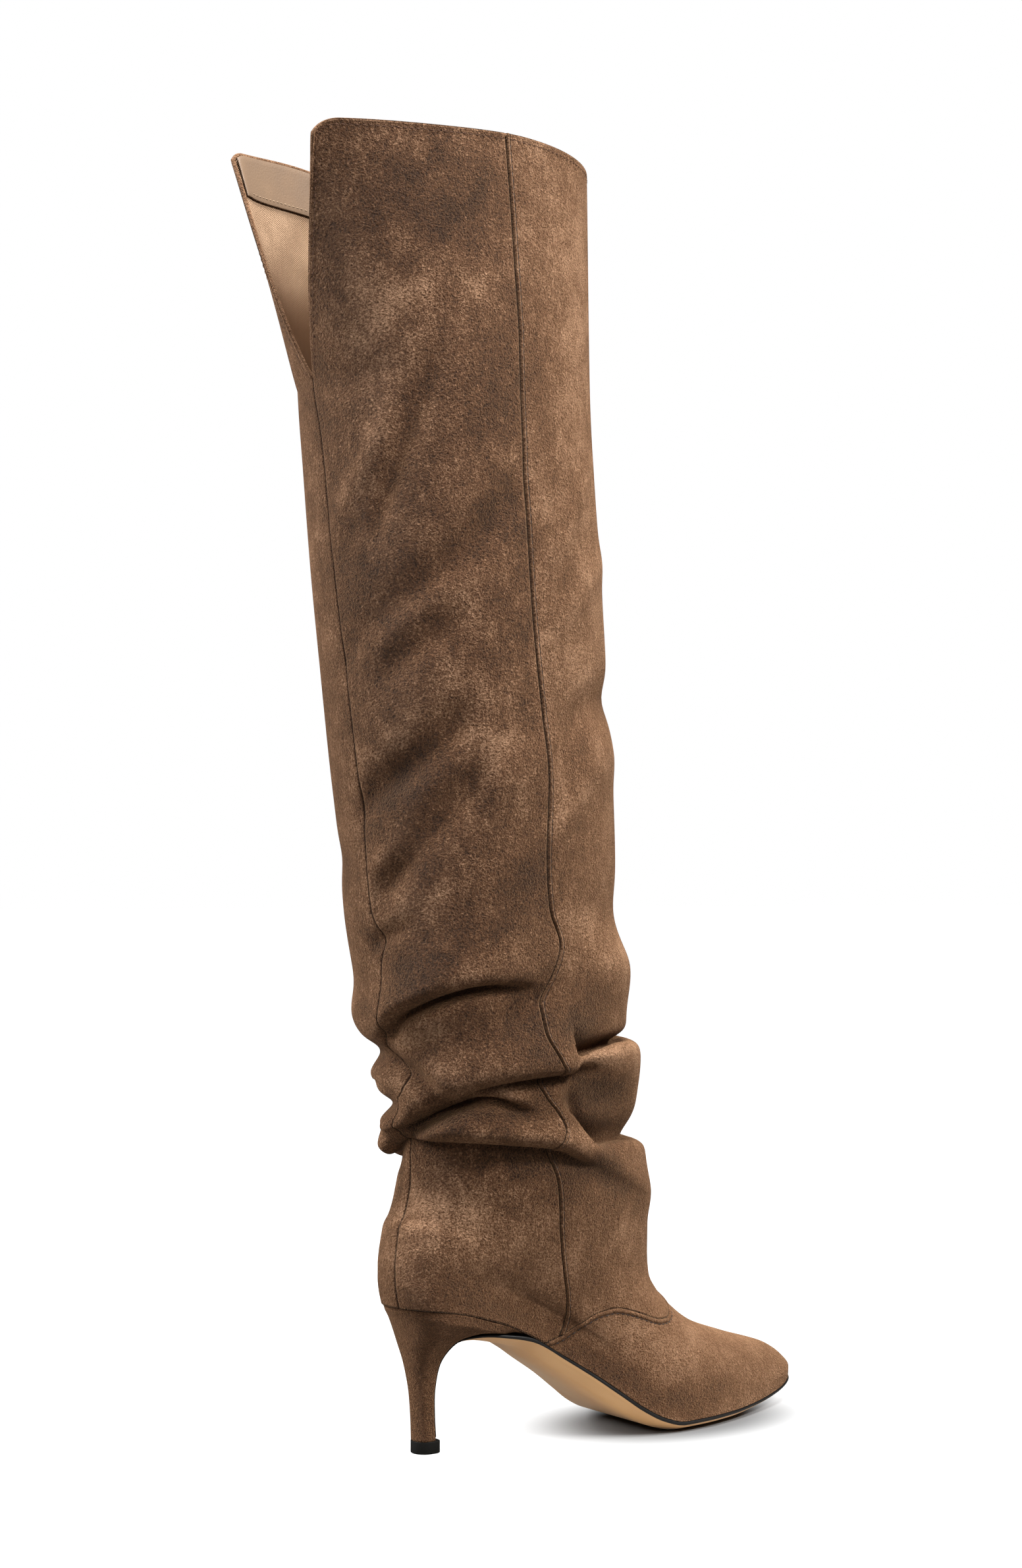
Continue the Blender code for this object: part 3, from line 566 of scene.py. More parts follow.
# Brushed nap: how much each part of it shows, and the stretch of its bands and streaks in metres.
napMake = {
    "patchScale": 70.0,
    "pileScale": 1080.0,
    "fleckShare": 0.4,                       # scale of the flecks as a share of the pile's
    "bandLean": math.radians(-50),           # the bands climb to the front
    "bandStretch": (0.105, 0.06, 0.026),
    "streakStretch": (0.003, 0.003, 0.012),
    "amounts": {"patches": 0.21, "bands": 0.09, "streaks": 0.12, "pile": 0.44, "flecks": 0.03},
    "crinkle": {"pile": 0.9, "flecks": 0.2},
}


def makeNapGroup():
    group, given, result = newGroup(
        "brushedNap",
        (("Place", "NodeSocketVector", None), ("Patch", "NodeSocketFloat", napMake["patchScale"]),
         ("Pile", "NodeSocketFloat", napMake["pileScale"])),
        (("Tone", "NodeSocketFloat"), ("Height", "NodeSocketFloat")),
    )
    place, pileScale = given.outputs["Place"], given.outputs["Pile"]
    asTexture = {"vector_type": "TEXTURE"}
    lean = addNode(group, "ShaderNodeMapping", asTexture, Vector=place, Scale=napMake["bandStretch"],
                   Rotation=(0.0, napMake["bandLean"], 0.0))
    streak = addNode(group, "ShaderNodeMapping", asTexture, Vector=place, Scale=napMake["streakStretch"])
    fleckScale = mathNode(group, "MULTIPLY", pileScale, napMake["fleckShare"])
    parts = {
        "patches": noise(group, place, given.outputs["Patch"], 4.0, 0.58, 0.4),
        "bands": noise(group, lean.outputs[0], 1.0, 3.0, 0.5, 0.5),
        "streaks": noise(group, streak.outputs[0], 1.0, 3.0, 0.6, 0.4),
        "pile": noise(group, place, pileScale, 2.0, 0.7, 0.7),
        "flecks": noise(group, place, fleckScale, 2.0, 0.6, 0.8),
    }
    total = 0.5
    for name, amount in napMake["amounts"].items():
        part = mathNode(group, "MULTIPLY", mathNode(group, "SUBTRACT", parts[name], 0.5), amount)
        total = mathNode(group, "ADD", part, total)
    crinkle = [mathNode(group, "MULTIPLY", parts[name], share) for name, share in napMake["crinkle"].items()]
    setInputs(group, result, Tone=total, Height=mathNode(group, "ADD", *crinkle))
    return group


def makePebbleGroup():
    # fine pebbled grain of a smooth coated skin, with a slow cloud of tone
    group, given, result = newGroup(
        "skinGrain",
        (("Place", "NodeSocketVector", None), ("Scale", "NodeSocketFloat", 900.0)),
        (("Tone", "NodeSocketFloat"), ("Height", "NodeSocketFloat")),
    )
    place, scale = given.outputs["Place"], given.outputs["Scale"]
    cells = addNode(group, "ShaderNodeTexVoronoi", {"feature": "SMOOTH_F1"}, Vector=place, Scale=scale)
    cloud = noise(group, place, mathNode(group, "MULTIPLY", scale, 0.06), 3.0)
    setInputs(group, result, Tone=cloud, Height=cells.outputs["Distance"])
    return group


napGroup = makeNapGroup()
pebbleGroup = makePebbleGroup()

suedeLook = {
    "deep": tone(37, 21, 12),
    "mid": tone(88, 58, 37),
    "pale": tone(162, 126, 98),
    "stops": (0.40, 0.50, 0.61),        # where the three tones lie
    "sheenTint": tone(239, 185, 137),
    "sheen": 0.38,
    "sheenRoughness": 0.4,
    "roughness": 0.8,
    "shine": 0.15,
    "seamDark": tone(20, 12, 8),
    "seamDepth": 0.3,                   # depth of a seam's line as a share of the pile's height
    "pileHeight": 0.0026,
    # lines beside each seam: mark on the mesh, distance from the seam in millimetres, width, depth of tone
    "lines": (("sideLine", 0.0, 0.45, 0.9), ("sideLine", 2.0, 0.4, 0.85), ("backLine", 0.0, 0.45, 0.8),
              ("vampLine", 0.0, 0.55, 0.95), ("vampLine", -2.2, 0.3, 0.6), ("edgeLine", 0.0, 0.35, 0.3),
              ("seatLine", 0.0, 0.55, 0.9)),
}


def makeSuede(name, marked, shift=0.0, mottle=0.5):
    look = suedeLook
    material, tree, shader = newMaterial(name, look["roughness"])
    nap = useGroup(tree, napGroup, Place=addNode(tree, "ShaderNodeTexCoord").outputs["Object"])
    height = nap.outputs["Height"]
    if marked:
        # the mesh's tone mark holds the nap's tone together with painted light and shade
        shift, mottle = meshMark(tree, "napTone"), meshMark(tree, "napMottle")
    level = mathNode(tree, "MULTIPLY", mathNode(tree, "SUBTRACT", nap.outputs["Tone"], 0.5), mottle)
    level = mathNode(tree, "ADD", mathNode(tree, "ADD", level, 0.5), shift)
    colour = colourRamp(tree, level, tuple(zip(look["stops"], (look["deep"], look["mid"], look["pale"]))))
    for mark, offset, width, depth in look["lines"] if marked else ():
        away = mathNode(tree, "ABSOLUTE", mathNode(tree, "SUBTRACT", meshMark(tree, mark), offset))
        line = mathNode(tree, "MULTIPLY", remap(tree, away, 0.3 * width, 1.5 * width, 1.0, 0.0), depth)
        colour = mixColour(tree, line, colour, look["seamDark"])
        height = mathNode(tree, "SUBTRACT", height, mathNode(tree, "MULTIPLY", line, look["seamDepth"]))
    setInputs(tree, shader, Base_Color=colour, Normal=bumpNormal(tree, height, look["pileHeight"], 1.0),
              Sheen_Weight=look["sheen"], Sheen_Roughness=look["sheenRoughness"],
              Sheen_Tint=look["sheenTint"], Specular_IOR_Level=look["shine"])
    return material


def makeSkin(name, colour, shade, roughness, scale, bumpHeight, coat=0.0, shine=0.5):
    material, tree, shader = newMaterial(name, roughness)
    place = addNode(tree, "ShaderNodeTexCoord").outputs["Object"]
    grain = useGroup(tree, pebbleGroup, Place=place, Scale=scale)
    low, high = 0.3, 0.7      # where the cloud of the grain lies darkest and palest
    mixed = colourRamp(tree, grain.outputs["Tone"], ((low, shade), (high, colour)))
    gloss = remap(tree, grain.outputs["Tone"], low, high, roughness + 0.08, roughness - 0.06)
    setInputs(tree, shader, Base_Color=mixed, Roughness=gloss, Coat_Weight=coat, Specular_IOR_Level=shine,
              Normal=bumpNormal(tree, grain.outputs["Height"], bumpHeight, 0.6))
    return material


liningLook = {
    "tones": ((0.2, tone(104, 82, 63)), (0.55, tone(147, 119, 95)), (0.9, tone(178, 149, 122))),
    "deepShade": tone(66, 43, 26),      # painted shade: the cloth is painted darker deep in the shaft, where the flap shades it, than near the rim
    "shadeAmount": 0.95,
    "shadeHeights": (508.0, 556.0),     # full shade under the first, none over the second
    "ribLean": math.radians(52),
    "ribScale": 0.46,
    "ribHeight": 0.0003,
    "roughness": 0.85,
    "shine": 0.05,
    "cloudScale": 0.06,
}


def makeTwill(name):
    look = liningLook
    material, tree, shader = newMaterial(name, look["roughness"])
    sheet = addNode(tree, "ShaderNodeUVMap").outputs["UV"]
    lean = addNode(tree, "ShaderNodeMapping", None, Vector=sheet, Rotation=(0.0, 0.0, look["ribLean"]))
    ribs = addNode(tree, "ShaderNodeTexWave", {"wave_type": "BANDS"}, Vector=lean.outputs[0],
                   Scale=look["ribScale"], Distortion=1.2, Detail=2.0, Detail_Scale=1.5).outputs["Fac"]
    cloud = noise(tree, sheet, look["cloudScale"], 3.0)
    level = mathNode(tree, "MULTIPLY", mathNode(tree, "ADD", ribs, cloud), 0.5)
    colour = colourRamp(tree, level, look["tones"])
    height = addNode(tree, "ShaderNodeSeparateXYZ", None, Vector=sheet).outputs["Y"]
    # painted shade, darkening the cloth deeper down in the shaft
    shade = remap(tree, height, *look["shadeHeights"], look["shadeAmount"], 0.0)
    setInputs(tree, shader, Base_Color=mixColour(tree, shade, colour, look["deepShade"]),
              Normal=bumpNormal(tree, ribs, look["ribHeight"], 0.7), Specular_IOR_Level=look["shine"])
    return material


suedeShell = makeSuede("suedeShell", True)
suedePlain = makeSuede("suedePlain", False)
suedeEdge = makeSuede("suedeEdge", False, 0.03)
suedeHeel = makeSuede("suedeHeel", False, -0.018)
# smooth skins: colour, darker shade, roughness, scale of the grain and its height in metres, coat, shine
facingSkin = makeSkin("facingSkin", tone(118, 96, 76), tone(104, 83, 64), 0.48, 1300.0, 0.00012)
footbedSkin = makeSkin("footbedSkin", tone(186, 152, 120), tone(168, 134, 104), 0.62, 1100.0, 0.00012)
soleTan = makeSkin("soleTan", tone(236, 188, 132), tone(222, 172, 118), 0.40, 500.0, 0.00004, 0.1)
edgeBlack = makeSkin("edgeBlack", tone(18, 16, 15), tone(12, 11, 10), 0.45, 900.0, 0.00008, 0.0, 0.3)
tipRubber = makeSkin("tipRubber", tone(14, 13, 11), tone(9, 9, 8), 0.6, 1500.0, 0.0001, 0.0, 0.15)
liningTwill = makeTwill("liningTwill")
threadBrown = makeSkin("threadBrown", tone(54, 35, 24), tone(42, 27, 18), 0.65, 2500.0, 0.00003)
threadSuede = makeSkin("threadSuede", tone(84, 56, 39), tone(68, 45, 31), 0.7, 2500.0, 0.00003, 0.0, 0.2)
threadTan = makeSkin("threadTan", tone(150, 126, 100), tone(132, 108, 84), 0.65, 2500.0, 0.00003)
print("materials made:", len(bpy.data.materials))

# The suede shell.
shellMake = {
    "columns": 132,
    "pocketColumns": 64,      # more columns from the side seam to the front, where the pockets lie
    "pocketSpan": (0.262, 0.44),
    "seamOffsets": (0.2, 0.45, 0.75, 1.1, 1.5, 1.9, 2.5, 3.3),   # extra columns beside a seam, in degrees
    "groove": 0.7,            # depth and width of the side seams
    "grooveWidth": 0.5,
    "bead": 0.65,             # height, width and place of the front panel's folded edge beside them
    "beadWidth": 0.6,
    "beadPlace": 1.1,
    "backGroove": 0.4,        # depth and width of the back seam
    "backWidth": 0.6,
    "slitClear": 6.0,         # no seam is pressed in this close to the slit's edges
    "vampLap": 0.3,           # how far the side seams run on under the vamp's edge
    "frontPanelLight": 0.016,       # how much paler the front panel is painted than the back panel: painted light, where the front faces the key light
    "panelHeights": (120.0, 200.0),     # between these that difference comes in
    "panelBlend": 1.2,        # how wide it changes beside a side seam
    # painted light and shade on the folds: lips painted paler, troughs and hollows painted darker
    "foldLift": 0.045,
    "foldFull": 5.0,          # height of a fold that gets the whole of that lift
    "foldRange": (-1.0, 0.6),           # least and most share of it
    # strength of the nap's marks, with their painted shade and highlights
    "brushLift": 1.18,
    "vampLift": 0.02,
    "vampBlend": 5.0,         # how far each way from the vamp's seam its lift comes in
    "footMottle": 0.56,       # strength of the nap's marks on the foot, the back panel and the front panel
    "backMottle": 0.92,
    "frontMottle": 0.78,
    "frontBlend": 6.0,        # how far past a side seam the front panel's strength is reached
    "mottleHeights": (62.0, 107.0),     # between these the foot's strength turns into the shaft's
    "topStitch": 2.6,         # distance of the stitched line from the collar's edge
    "seatEnd": 52.0,          # how far forward the line over the heel's seat runs
}


def shellColumns():
    spots = set(np.round(np.linspace(0.0, 1.0, shellMake["columns"] + 1), 6))
    spots |= set(np.round(np.linspace(*shellMake["pocketSpan"], shellMake["pocketColumns"]), 6))
    for seam in (0.0, *sideSeams, 1.0):
        for offset in shellMake["seamOffsets"]:
            for spot in (seam - offset / 360.0, seam + offset / 360.0):
                if 0.0 < spot < 1.0:
                    spots.add(round(spot, 6))
    return np.array(sorted(spots))


def shellLevels():
    levels = []
    for i, row in enumerate(rings):
        rowCount = row[ringNames.index("rows")]
        levels += [i + step / rowCount for step in range(rowCount)]
    return np.array(levels + [topLevel])


# Side view of the vamp seam as (x, z), from the sole up over the instep. The inner side has the same line.
vampSeam = (
    (49, 46.2), (54, 47.3), (58.3, 48.8), (63.3, 51.8), (67.7, 54.7), (72.2, 57.4), (77.5, 59), (84.7, 59.8),
    (90.6, 58.8), (96.7, 57), (103, 54.8), (108.5, 52.8), (113.5, 51.7), (118, 51.6), (122, 52.6),
    (124.8, 54.8), (126.2, 57.6), (126.6, 62),
)


# Where the vamp seam is looked for on the shell, and how finely.
vampSearch = {
    "top": 90.0,              # heights over this are nowhere near it
    "steps": 120,
    "around": (0.23, 0.77),
    "levels": (0.0, 8.5),
    "columns": 170,
    "rows": 240,
    "near": 3.0,              # a change of side further off than this isn't the seam
}


def vampDistance(points):
    # distance from the seam in side view, positive above it
    knots = np.array(vampSeam, float)
    steps = np.linspace(0.0, len(knots) - 1.0, vampSearch["steps"])
    line = np.stack([monotone(range(len(knots)), knots[:, k], steps) for k in (0, 1)], axis=-1)
    start, run = line[:-1], np.diff(line, axis=0)
    flat = points.reshape(-1, 3)[:, [0, 2]]
    result = np.full(len(flat), farAway)
    near = np.flatnonzero(flat[:, 1] < vampSearch["top"])
    gap = flat[near, None, :] - start[None]
    share = np.clip((gap * run).sum(-1) / (run**2).sum(-1), 0.0, 1.0)
    away = np.linalg.norm(gap - share[..., None] * run, axis=-1)
    best = away.argmin(axis=1)
    pick = np.arange(len(near))
    turn = run[best, 0] * gap[pick, best, 1] - run[best, 1] * gap[pick, best, 0]
    result[near] = np.where(turn >= 0.0, 1.0, -1.0) * away[pick, best]
    return result.reshape(points.shape[:-1])


def vampPath(offset):
    # the line at one distance from the vamp seam, over the instep from the outer to the inner side
    search = vampSearch
    around = np.linspace(*search["around"], search["columns"])
    levels = np.linspace(*search["levels"], search["rows"])
    grid, rows = np.meshgrid(around, levels)
    away = vampDistance(shellPoint(grid, rows)) - offset
    crossing = (away[:-1] < 0.0) & (away[1:] >= 0.0) & (away[1:] < search["near"])
    kept = np.flatnonzero(crossing.any(axis=0))
    row = crossing[:, kept].argmax(axis=0)
    low, high = away[row, kept], away[row + 1, kept]
    level = levels[row] + (levels[1] - levels[0]) * low / (low - high)
    return shellPoint(around[kept], level), shellNormal(around[kept], level)


def seamMillimetres(points, around, seam):
    # signed distance round the leg from a seam's column, measured along each row
    run = runAlong(points)
    away = run - run[:, np.argmin(np.abs(around - seam))][:, None]
    if seam == 0.0:
        away = np.where(away > 0.5 * run[:, -1:], away - run[:, -1:], away)
    return away


def limited(distance):
    return np.clip(distance, -farAway, farAway)


def makeShell():
    make = shellMake
    around, levels = shellColumns(), shellLevels()
    grid, rows = np.meshgrid(around, levels)
    points = shellPoint(grid, rows)
    plain = shellPoint(grid, rows, 0.0)
    normal = shellNormal(grid, rows)
    # distances from the seams and the relief that they press into the suede
    outer = seamMillimetres(points, around, sideSeams[0])
    inner = -seamMillimetres(points, around, sideSeams[1])
    back = seamMillimetres(points, around, 0.0)
    side = np.where(np.abs(outer) < np.abs(inner), outer, inner)
    relief = make["bead"] * bell(side - make["beadPlace"], make["beadWidth"])
    relief -= make["groove"] * bell(side, make["grooveWidth"])
    relief -= make["backGroove"] * bell(back, make["backWidth"])
    belowSlit = rows <= slitLevel
    vamp = vampDistance(points)
    overVamp = vamp > -make["vampLap"]
    side = np.where(overVamp, side, farAway * np.sign(side))
    relief = np.where((belowSlit | (np.abs(back) > make["slitClear"])) & overVamp, relief, 0.0)
    points = points + relief[..., None] * normal
    fromRim = runAlong(points[::-1].swapaxes(0, 1)).T[::-1]
    edge = np.minimum(np.where(belowSlit, fromRim, np.abs(back)), fromRim) - make["topStitch"]
    # tone of the nap, with painted light and shade: the front panel painted paler, lips of folds painted
    # paler and hollows darker, the nap's marks with painted shade and highlights, and a paler vamp
    moved = points - plain
    middle = 0.5 * (ringSize("backX", rows) + ringSize("frontX", rows))
    outward = np.sign(moved[..., 0] * (plain[..., 0] - middle) + moved[..., 1] * plain[..., 1])
    lip = outward * np.linalg.norm(moved[..., :2], axis=-1) / make["foldFull"]
    height = plain[..., 2]
    nap = make["frontPanelLight"] * ramp(height, *make["panelHeights"]) * np.tanh(side / make["panelBlend"])
    nap += make["foldLift"] * np.clip(lip, *make["foldRange"])
    nap += make["brushLift"] * napAndShadingTone(legAngle(grid, rows), height)
    nap += make["vampLift"] * ramp(vamp, make["vampBlend"], -make["vampBlend"])
    upShaft = ramp(height, *make["mottleHeights"])
    onFront = ramp(side, 0.0, make["frontBlend"])
    shaftMottle = make["backMottle"] + (make["frontMottle"] - make["backMottle"]) * onFront
    seat = limited(np.maximum(points[..., 2] - featherZ(points[..., 0]), 0.0))
    return gridPiece("suedeUpper", points, {
        "napMottle": make["footMottle"] + (shaftMottle - make["footMottle"]) * upShaft,
        "sideLine": limited(side),
        "backLine": np.where(belowSlit, limited(back), farAway),
        "vampLine": limited(vamp),
        "edgeLine": limited(edge),
        "seatLine": np.where(points[..., 0] < make["seatEnd"], seat, farAway),
        "napTone": nap,
    })


finishPiece(makeShell(), ("upper",), (suedeShell,))

# The cloth lining, seen through the slit.
liningMake = {
    "columns": 90,
    "rows": 150,
    "depth": 1.5,             # under the outer face of the suede, and how much more in the shaft and slouch
    "shaftDepth": 1.5,
    "slouchDepth": 17.0,
    "slouchLevels": (10.0, 17.0),
    "ease": 1.5,              # levels over which one depth turns into the next
    "foldFrom": 16.5,         # level from which the lining follows the folds
}


def makeLining():
    around = np.linspace(1.0, 0.0, liningMake["columns"] + 1)
    levels = np.linspace(0.0, topLevel, liningMake["rows"] + 1)
    grid, rows = np.meshgrid(around, levels)
    low, high = liningMake["slouchLevels"]
    ease = liningMake["ease"]
    slouch = ramp(rows, low, low + ease) * ramp(rows, high, high - ease)
    shaft = ramp(rows, slitLevel, slitLevel - ease)
    more = np.maximum(liningMake["slouchDepth"] * slouch, liningMake["shaftDepth"] * shaft)
    follow = np.clip(rows - liningMake["foldFrom"], 0.0, 1.0)
    points = innerPoint(grid, rows, liningMake["depth"] + more, follow)
    uv = np.stack([runAlong(points), points[..., 2]], axis=-1)
    return gridPiece("clothLining", points, uv=uv)


finishPiece(makeLining(), (), (liningTwill,))

# The smooth facing sewn inside the rim.
facingMake = {
    "below": 1.6,             # how far its upper edge lies under the rim
    "height": 18.5,
    "thickness": 0.7,
    "gap": 0.35,
    "end": 0.0035,            # how far its ends stay from the slit, as a share of the way round
    "soften": 0.25,
    "columns": 200,
    "rows": 8,
}


def levelUnderRim(drop):
    return topLevel - drop / (bootForm["rimZ"] - bootForm["notchZ"])


def facingPoint(around, drop):
    depth = bootForm["wall"] + facingMake["gap"] + facingMake["thickness"]
    return innerPoint(around, levelUnderRim(drop), depth)


def makeFacing():
    around = np.linspace(1.0 - facingMake["end"], facingMake["end"], facingMake["columns"] + 1)
    # rows run up the visible face from the folded lower edge
    foot = facingMake["below"] + facingMake["height"]
    drops = np.linspace(foot, facingMake["below"], facingMake["rows"] + 1)
    grid, rows = np.meshgrid(around, drops)
    piece = gridPiece("collarFacing", facingPoint(grid, rows))
    wall = piece.modifiers.new("wall", "SOLIDIFY")
    wall.thickness = facingMake["thickness"] * mm
    wall.offset = -1.0
    soft = piece.modifiers.new("softEdge", "BEVEL")
    soft.width = facingMake["soften"] * mm
    soft.segments = 2
    soft.limit_method = "ANGLE"
    for modifier in ("wall", "softEdge"):
        bpy.ops.object.modifier_apply(modifier=modifier)
    return piece


finishPiece(makeFacing(), ("collar_facing",), (facingSkin,))


def sweepTube(name, path, normals, radius, sides=10, flat=1.0):
    # a round or flattened cord along a path that lies on the surface
    across = unit(np.cross(unit(np.gradient(path, axis=0)), normals))
    turn = np.linspace(0.0, 2.0 * math.pi, sides + 1)[:, None, None]
    ring = radius * (np.cos(turn) * across + flat * np.sin(turn) * normals)
    return gridPiece(name, path + ring, fill=True)


def millimetresRound(around, step, level):
    # how many millimetres one whole share of the way round would be, at each place
    run = shellPoint(around + step, level) - shellPoint(around, level)
    return np.linalg.norm(run, axis=-1) / abs(step)


# The turned edge of the collar and slit.
edgeMake = {"radius": 1.0, "inset": 0.8, "depth": 0.9, "slitSteps": 60, "rimSteps": 260}


def collarPath(inset, depth):
    # up one side of the slit, round the rim and down the other side, a little in from the edge
    top = levelUnderRim(inset)
    slit = np.linspace(slitLevel + 0.01, top, edgeMake["slitSteps"])
    rim = np.linspace(0.0, 1.0, edgeMake["rimSteps"])
    around = np.concatenate([np.zeros(len(slit)), rim[1:-1], np.ones(len(slit))])
    level = np.concatenate([slit, np.full(len(rim) - 2, top), slit[::-1]])
    near = inset / millimetresRound(0.0, 0.004, level)
    around = np.clip(around, near, 1.0 - near)
    return innerPoint(around, level, depth), shellNormal(around, level)


edgePath, edgeNormals = collarPath(edgeMake["inset"], edgeMake["depth"])
finishPiece(sweepTube("turnedEdge", edgePath, edgeNormals, edgeMake["radius"]), (), (suedeEdge,))

# The raised fold of the vamp along its seam.
weltMake = {"offset": -1.0, "radius": 0.95, "flat": 0.55}
weltPath, weltNormals = vampPath(weltMake["offset"])
vampWelt = sweepTube("vampWelt", weltPath, weltNormals, weltMake["radius"], 8, weltMake["flat"])
finishPiece(vampWelt, (), (suedePlain,))

# Stitches: one small bead of thread, copied along every sewn line.
stitchMake = {
    "length": 2.0,
    "pitch": 3.0,
    "radius": 0.3,
    "reach": 0.8,             # how far ahead and behind a stitch its direction is read
    "edgeInset": 2.7,         # distances of the sewn lines from the edge and from the seams
    "edgeDepth": 0.05,
    "sideOffset": 2.0,
    "vampOffset": -2.3,
    "facingOffset": 2.0,
    "sideLevels": (1.7, topLevel - 0.03),     # from just over the sole to just under the rim
    "facingSpan": (0.985, 0.015),             # shares of the way round, clear of the slit
}


def sideSeamPath(seam, offset):
    # on the front panel, from the sole to the rim
    level = np.linspace(*stitchMake["sideLevels"], 700)
    step = 0.002 if seam < 0.5 else -0.002
    around = seam + math.copysign(offset, step) / millimetresRound(seam, step, level)
    return shellPoint(around, level), shellNormal(around, level)


def facingPath(up):
    around = np.linspace(*stitchMake["facingSpan"], 300)
    drop = facingMake["below"] + facingMake["height"] - up
    return facingPoint(around, drop), -shellNormal(around, levelUnderRim(drop))


def makeStitches(name, lines):
    bpy.ops.mesh.primitive_uv_sphere_add(segments=6, ring_count=4, radius=1.0)
    bead = bpy.context.object
    shape = np.array([tuple(v.co) for v in bead.data.vertices])
    faces = [tuple(f.vertices) for f in bead.data.polygons]
    bpy.ops.object.delete()
    allPoints, allFaces = [], []
    for path, normals in lines:
        run = runAlong(path)
        for at in np.arange(stitchMake["pitch"], run[-1] - 1.0, stitchMake["pitch"]):
            reach = stitchMake["reach"]
            centre, ahead, behind, up = (
                np.array([np.interp(at + shift, run, table[:, k]) for k in range(3)])
                for shift, table in ((0.0, path), (reach, path), (-reach, path), (0.0, normals)))
            along = unit(ahead - behind)
            across = unit(np.cross(up, along))
            thick, half = stitchMake["radius"], 0.5 * stitchMake["length"]
            axes = np.stack([thick * across, thick * np.cross(along, across), half * along])
            first = len(allPoints) * len(shape)
            allPoints.append(centre + shape @ axes)
            allFaces += [tuple(first + i for i in face) for face in faces]
    mesh = bpy.data.meshes.new(name)
    mesh.from_pydata((np.concatenate(allPoints) * mm).tolist(), [], allFaces)
    piece = bpy.data.objects.new(name, mesh)
    bpy.context.collection.objects.link(piece)
    mesh.polygons.foreach_set("use_smooth", [True] * len(mesh.polygons))
    return piece


seamLines = [sideSeamPath(seam, stitchMake["sideOffset"]) for seam in sideSeams]
seamLines.append(vampPath(stitchMake["vampOffset"]))
finishPiece(makeStitches("seamStitches", seamLines), (), (threadBrown,))
rimLine = collarPath(stitchMake["edgeInset"], stitchMake["edgeDepth"])
finishPiece(makeStitches("rimStitches", [rimLine]), (), (threadSuede,))
facingLine = facingPath(stitchMake["facingOffset"])
finishPiece(makeStitches("facingStitches", [facingLine]), (), (threadTan,))

# Covered heel.
heelNames = ("backX", "backZ", "frontX", "frontZ", "half", "square")
heelRings = (
    (-5.7, 5.6, 3.4, 5.6, 5.9, 5.0),
    (-6.0, 14.0, 2.8, 14.0, 5.8, 5.0),
    (-6.8, 26.0, 2.4, 25.0, 6.3, 5.0),
    (-8.0, 34.0, 2.7, 32.0, 7.4, 5.0),
    (-9.4, 41.0, 3.6, 39.0, 9.2, 5.0),
    (-11.2, 48.0, 5.9, 45.0, 12.4, 5.0),
    (-12.6, 54.0, 11.4, 50.6, 16.8, 5.0),
    (-14.8, 60.0, 22.0, 52.8, 20.8, 6.0),
    (-17.2, 64.0, 33.0, 51.8, 22.9, 7.0),
    (-18.7, 66.2, 41.0, 50.6, 23.8, 8.0),
)
heelMake = {
    "columns": 72,
    "rows": 70,
    "seatGap": 0.35,
    "tuckSize": (0.9, 0.9, 1.0),     # size and rise of the row that closes the seat
    "tuckRise": (0.0, 0.0, 1.2),
}


def heelOutline(turn, square):
    # round behind and squared off in front, as two shares from -1 to 1: back to front and across
    cosine, sine = np.cos(turn), np.sin(turn)
    power = 2.0 / np.where(cosine > 0.0, 2.0, square)
    return -np.sign(cosine) * np.abs(cosine) ** power, -np.sign(sine) * np.abs(sine) ** power


def makeHeel():
    turn = np.linspace(0.0, 2.0 * math.pi, heelMake["columns"] + 1)
    levels = np.linspace(0.0, len(heelRings) - 1, heelMake["rows"] + 1)
    grid, rows = np.meshgrid(turn, levels)
    size = {name: columnCurve(heelRings, heelNames, name, rows) for name in heelNames}
    along, width = heelOutline(grid, size["square"])
    share = 0.5 + 0.5 * along
    x = size["backX"] + share * (size["frontX"] - size["backX"])
    z = size["backZ"] + share * (size["frontZ"] - size["backZ"])
    seat = np.clip(rows - (len(heelRings) - 2), 0.0, 1.0)
    z = (1.0 - seat) * z + seat * (featherZ(x) - heelMake["seatGap"])
    points = np.stack([x, width * size["half"], z], axis=-1)
    # a last row tucked up inside the upper closes the seat
    tucked = points[-1:] * heelMake["tuckSize"] + heelMake["tuckRise"]
    return gridPiece("coveredHeel", np.concatenate([points, tucked]), fill=True)


finishPiece(makeHeel(), ("heel",), (suedeHeel,))

# Hard black tip under the heel.
tipMake = {
    "height": 5.5,
    "half": 6.2,
    "reach": 6.0,
    "square": 4.0,
    "round": 0.5,
    "topRound": 0.25,
    "columns": 64,
}


def makeTip():
    turn = np.linspace(0.0, 2.0 * math.pi, tipMake["columns"] + 1)
    along, across = heelOutline(turn, tipMake["square"])
    low, high = tipMake["round"], tipMake["topRound"]
    corner = np.linspace(0.0, 0.5 * math.pi, 5)
    profile = [(low * (1 - math.sin(a)), low * (1 - math.cos(a))) for a in corner]
    profile += [(high * (1 - math.cos(a)), tipMake["height"] - high * (1 - math.sin(a))) for a in corner]
    inset, z = (np.array(part)[:, None] for part in zip(*profile))
    size = 1 - inset / tipMake["reach"]
    x, y = size * tipMake["reach"] * along, size * tipMake["half"] * across
    points = np.stack([x, y, z + 0.0 * x], axis=-1)
    return gridPiece("heelTip", points, fill=True)


finishPiece(makeTip(), ("heel_tip",), (tipRubber,))

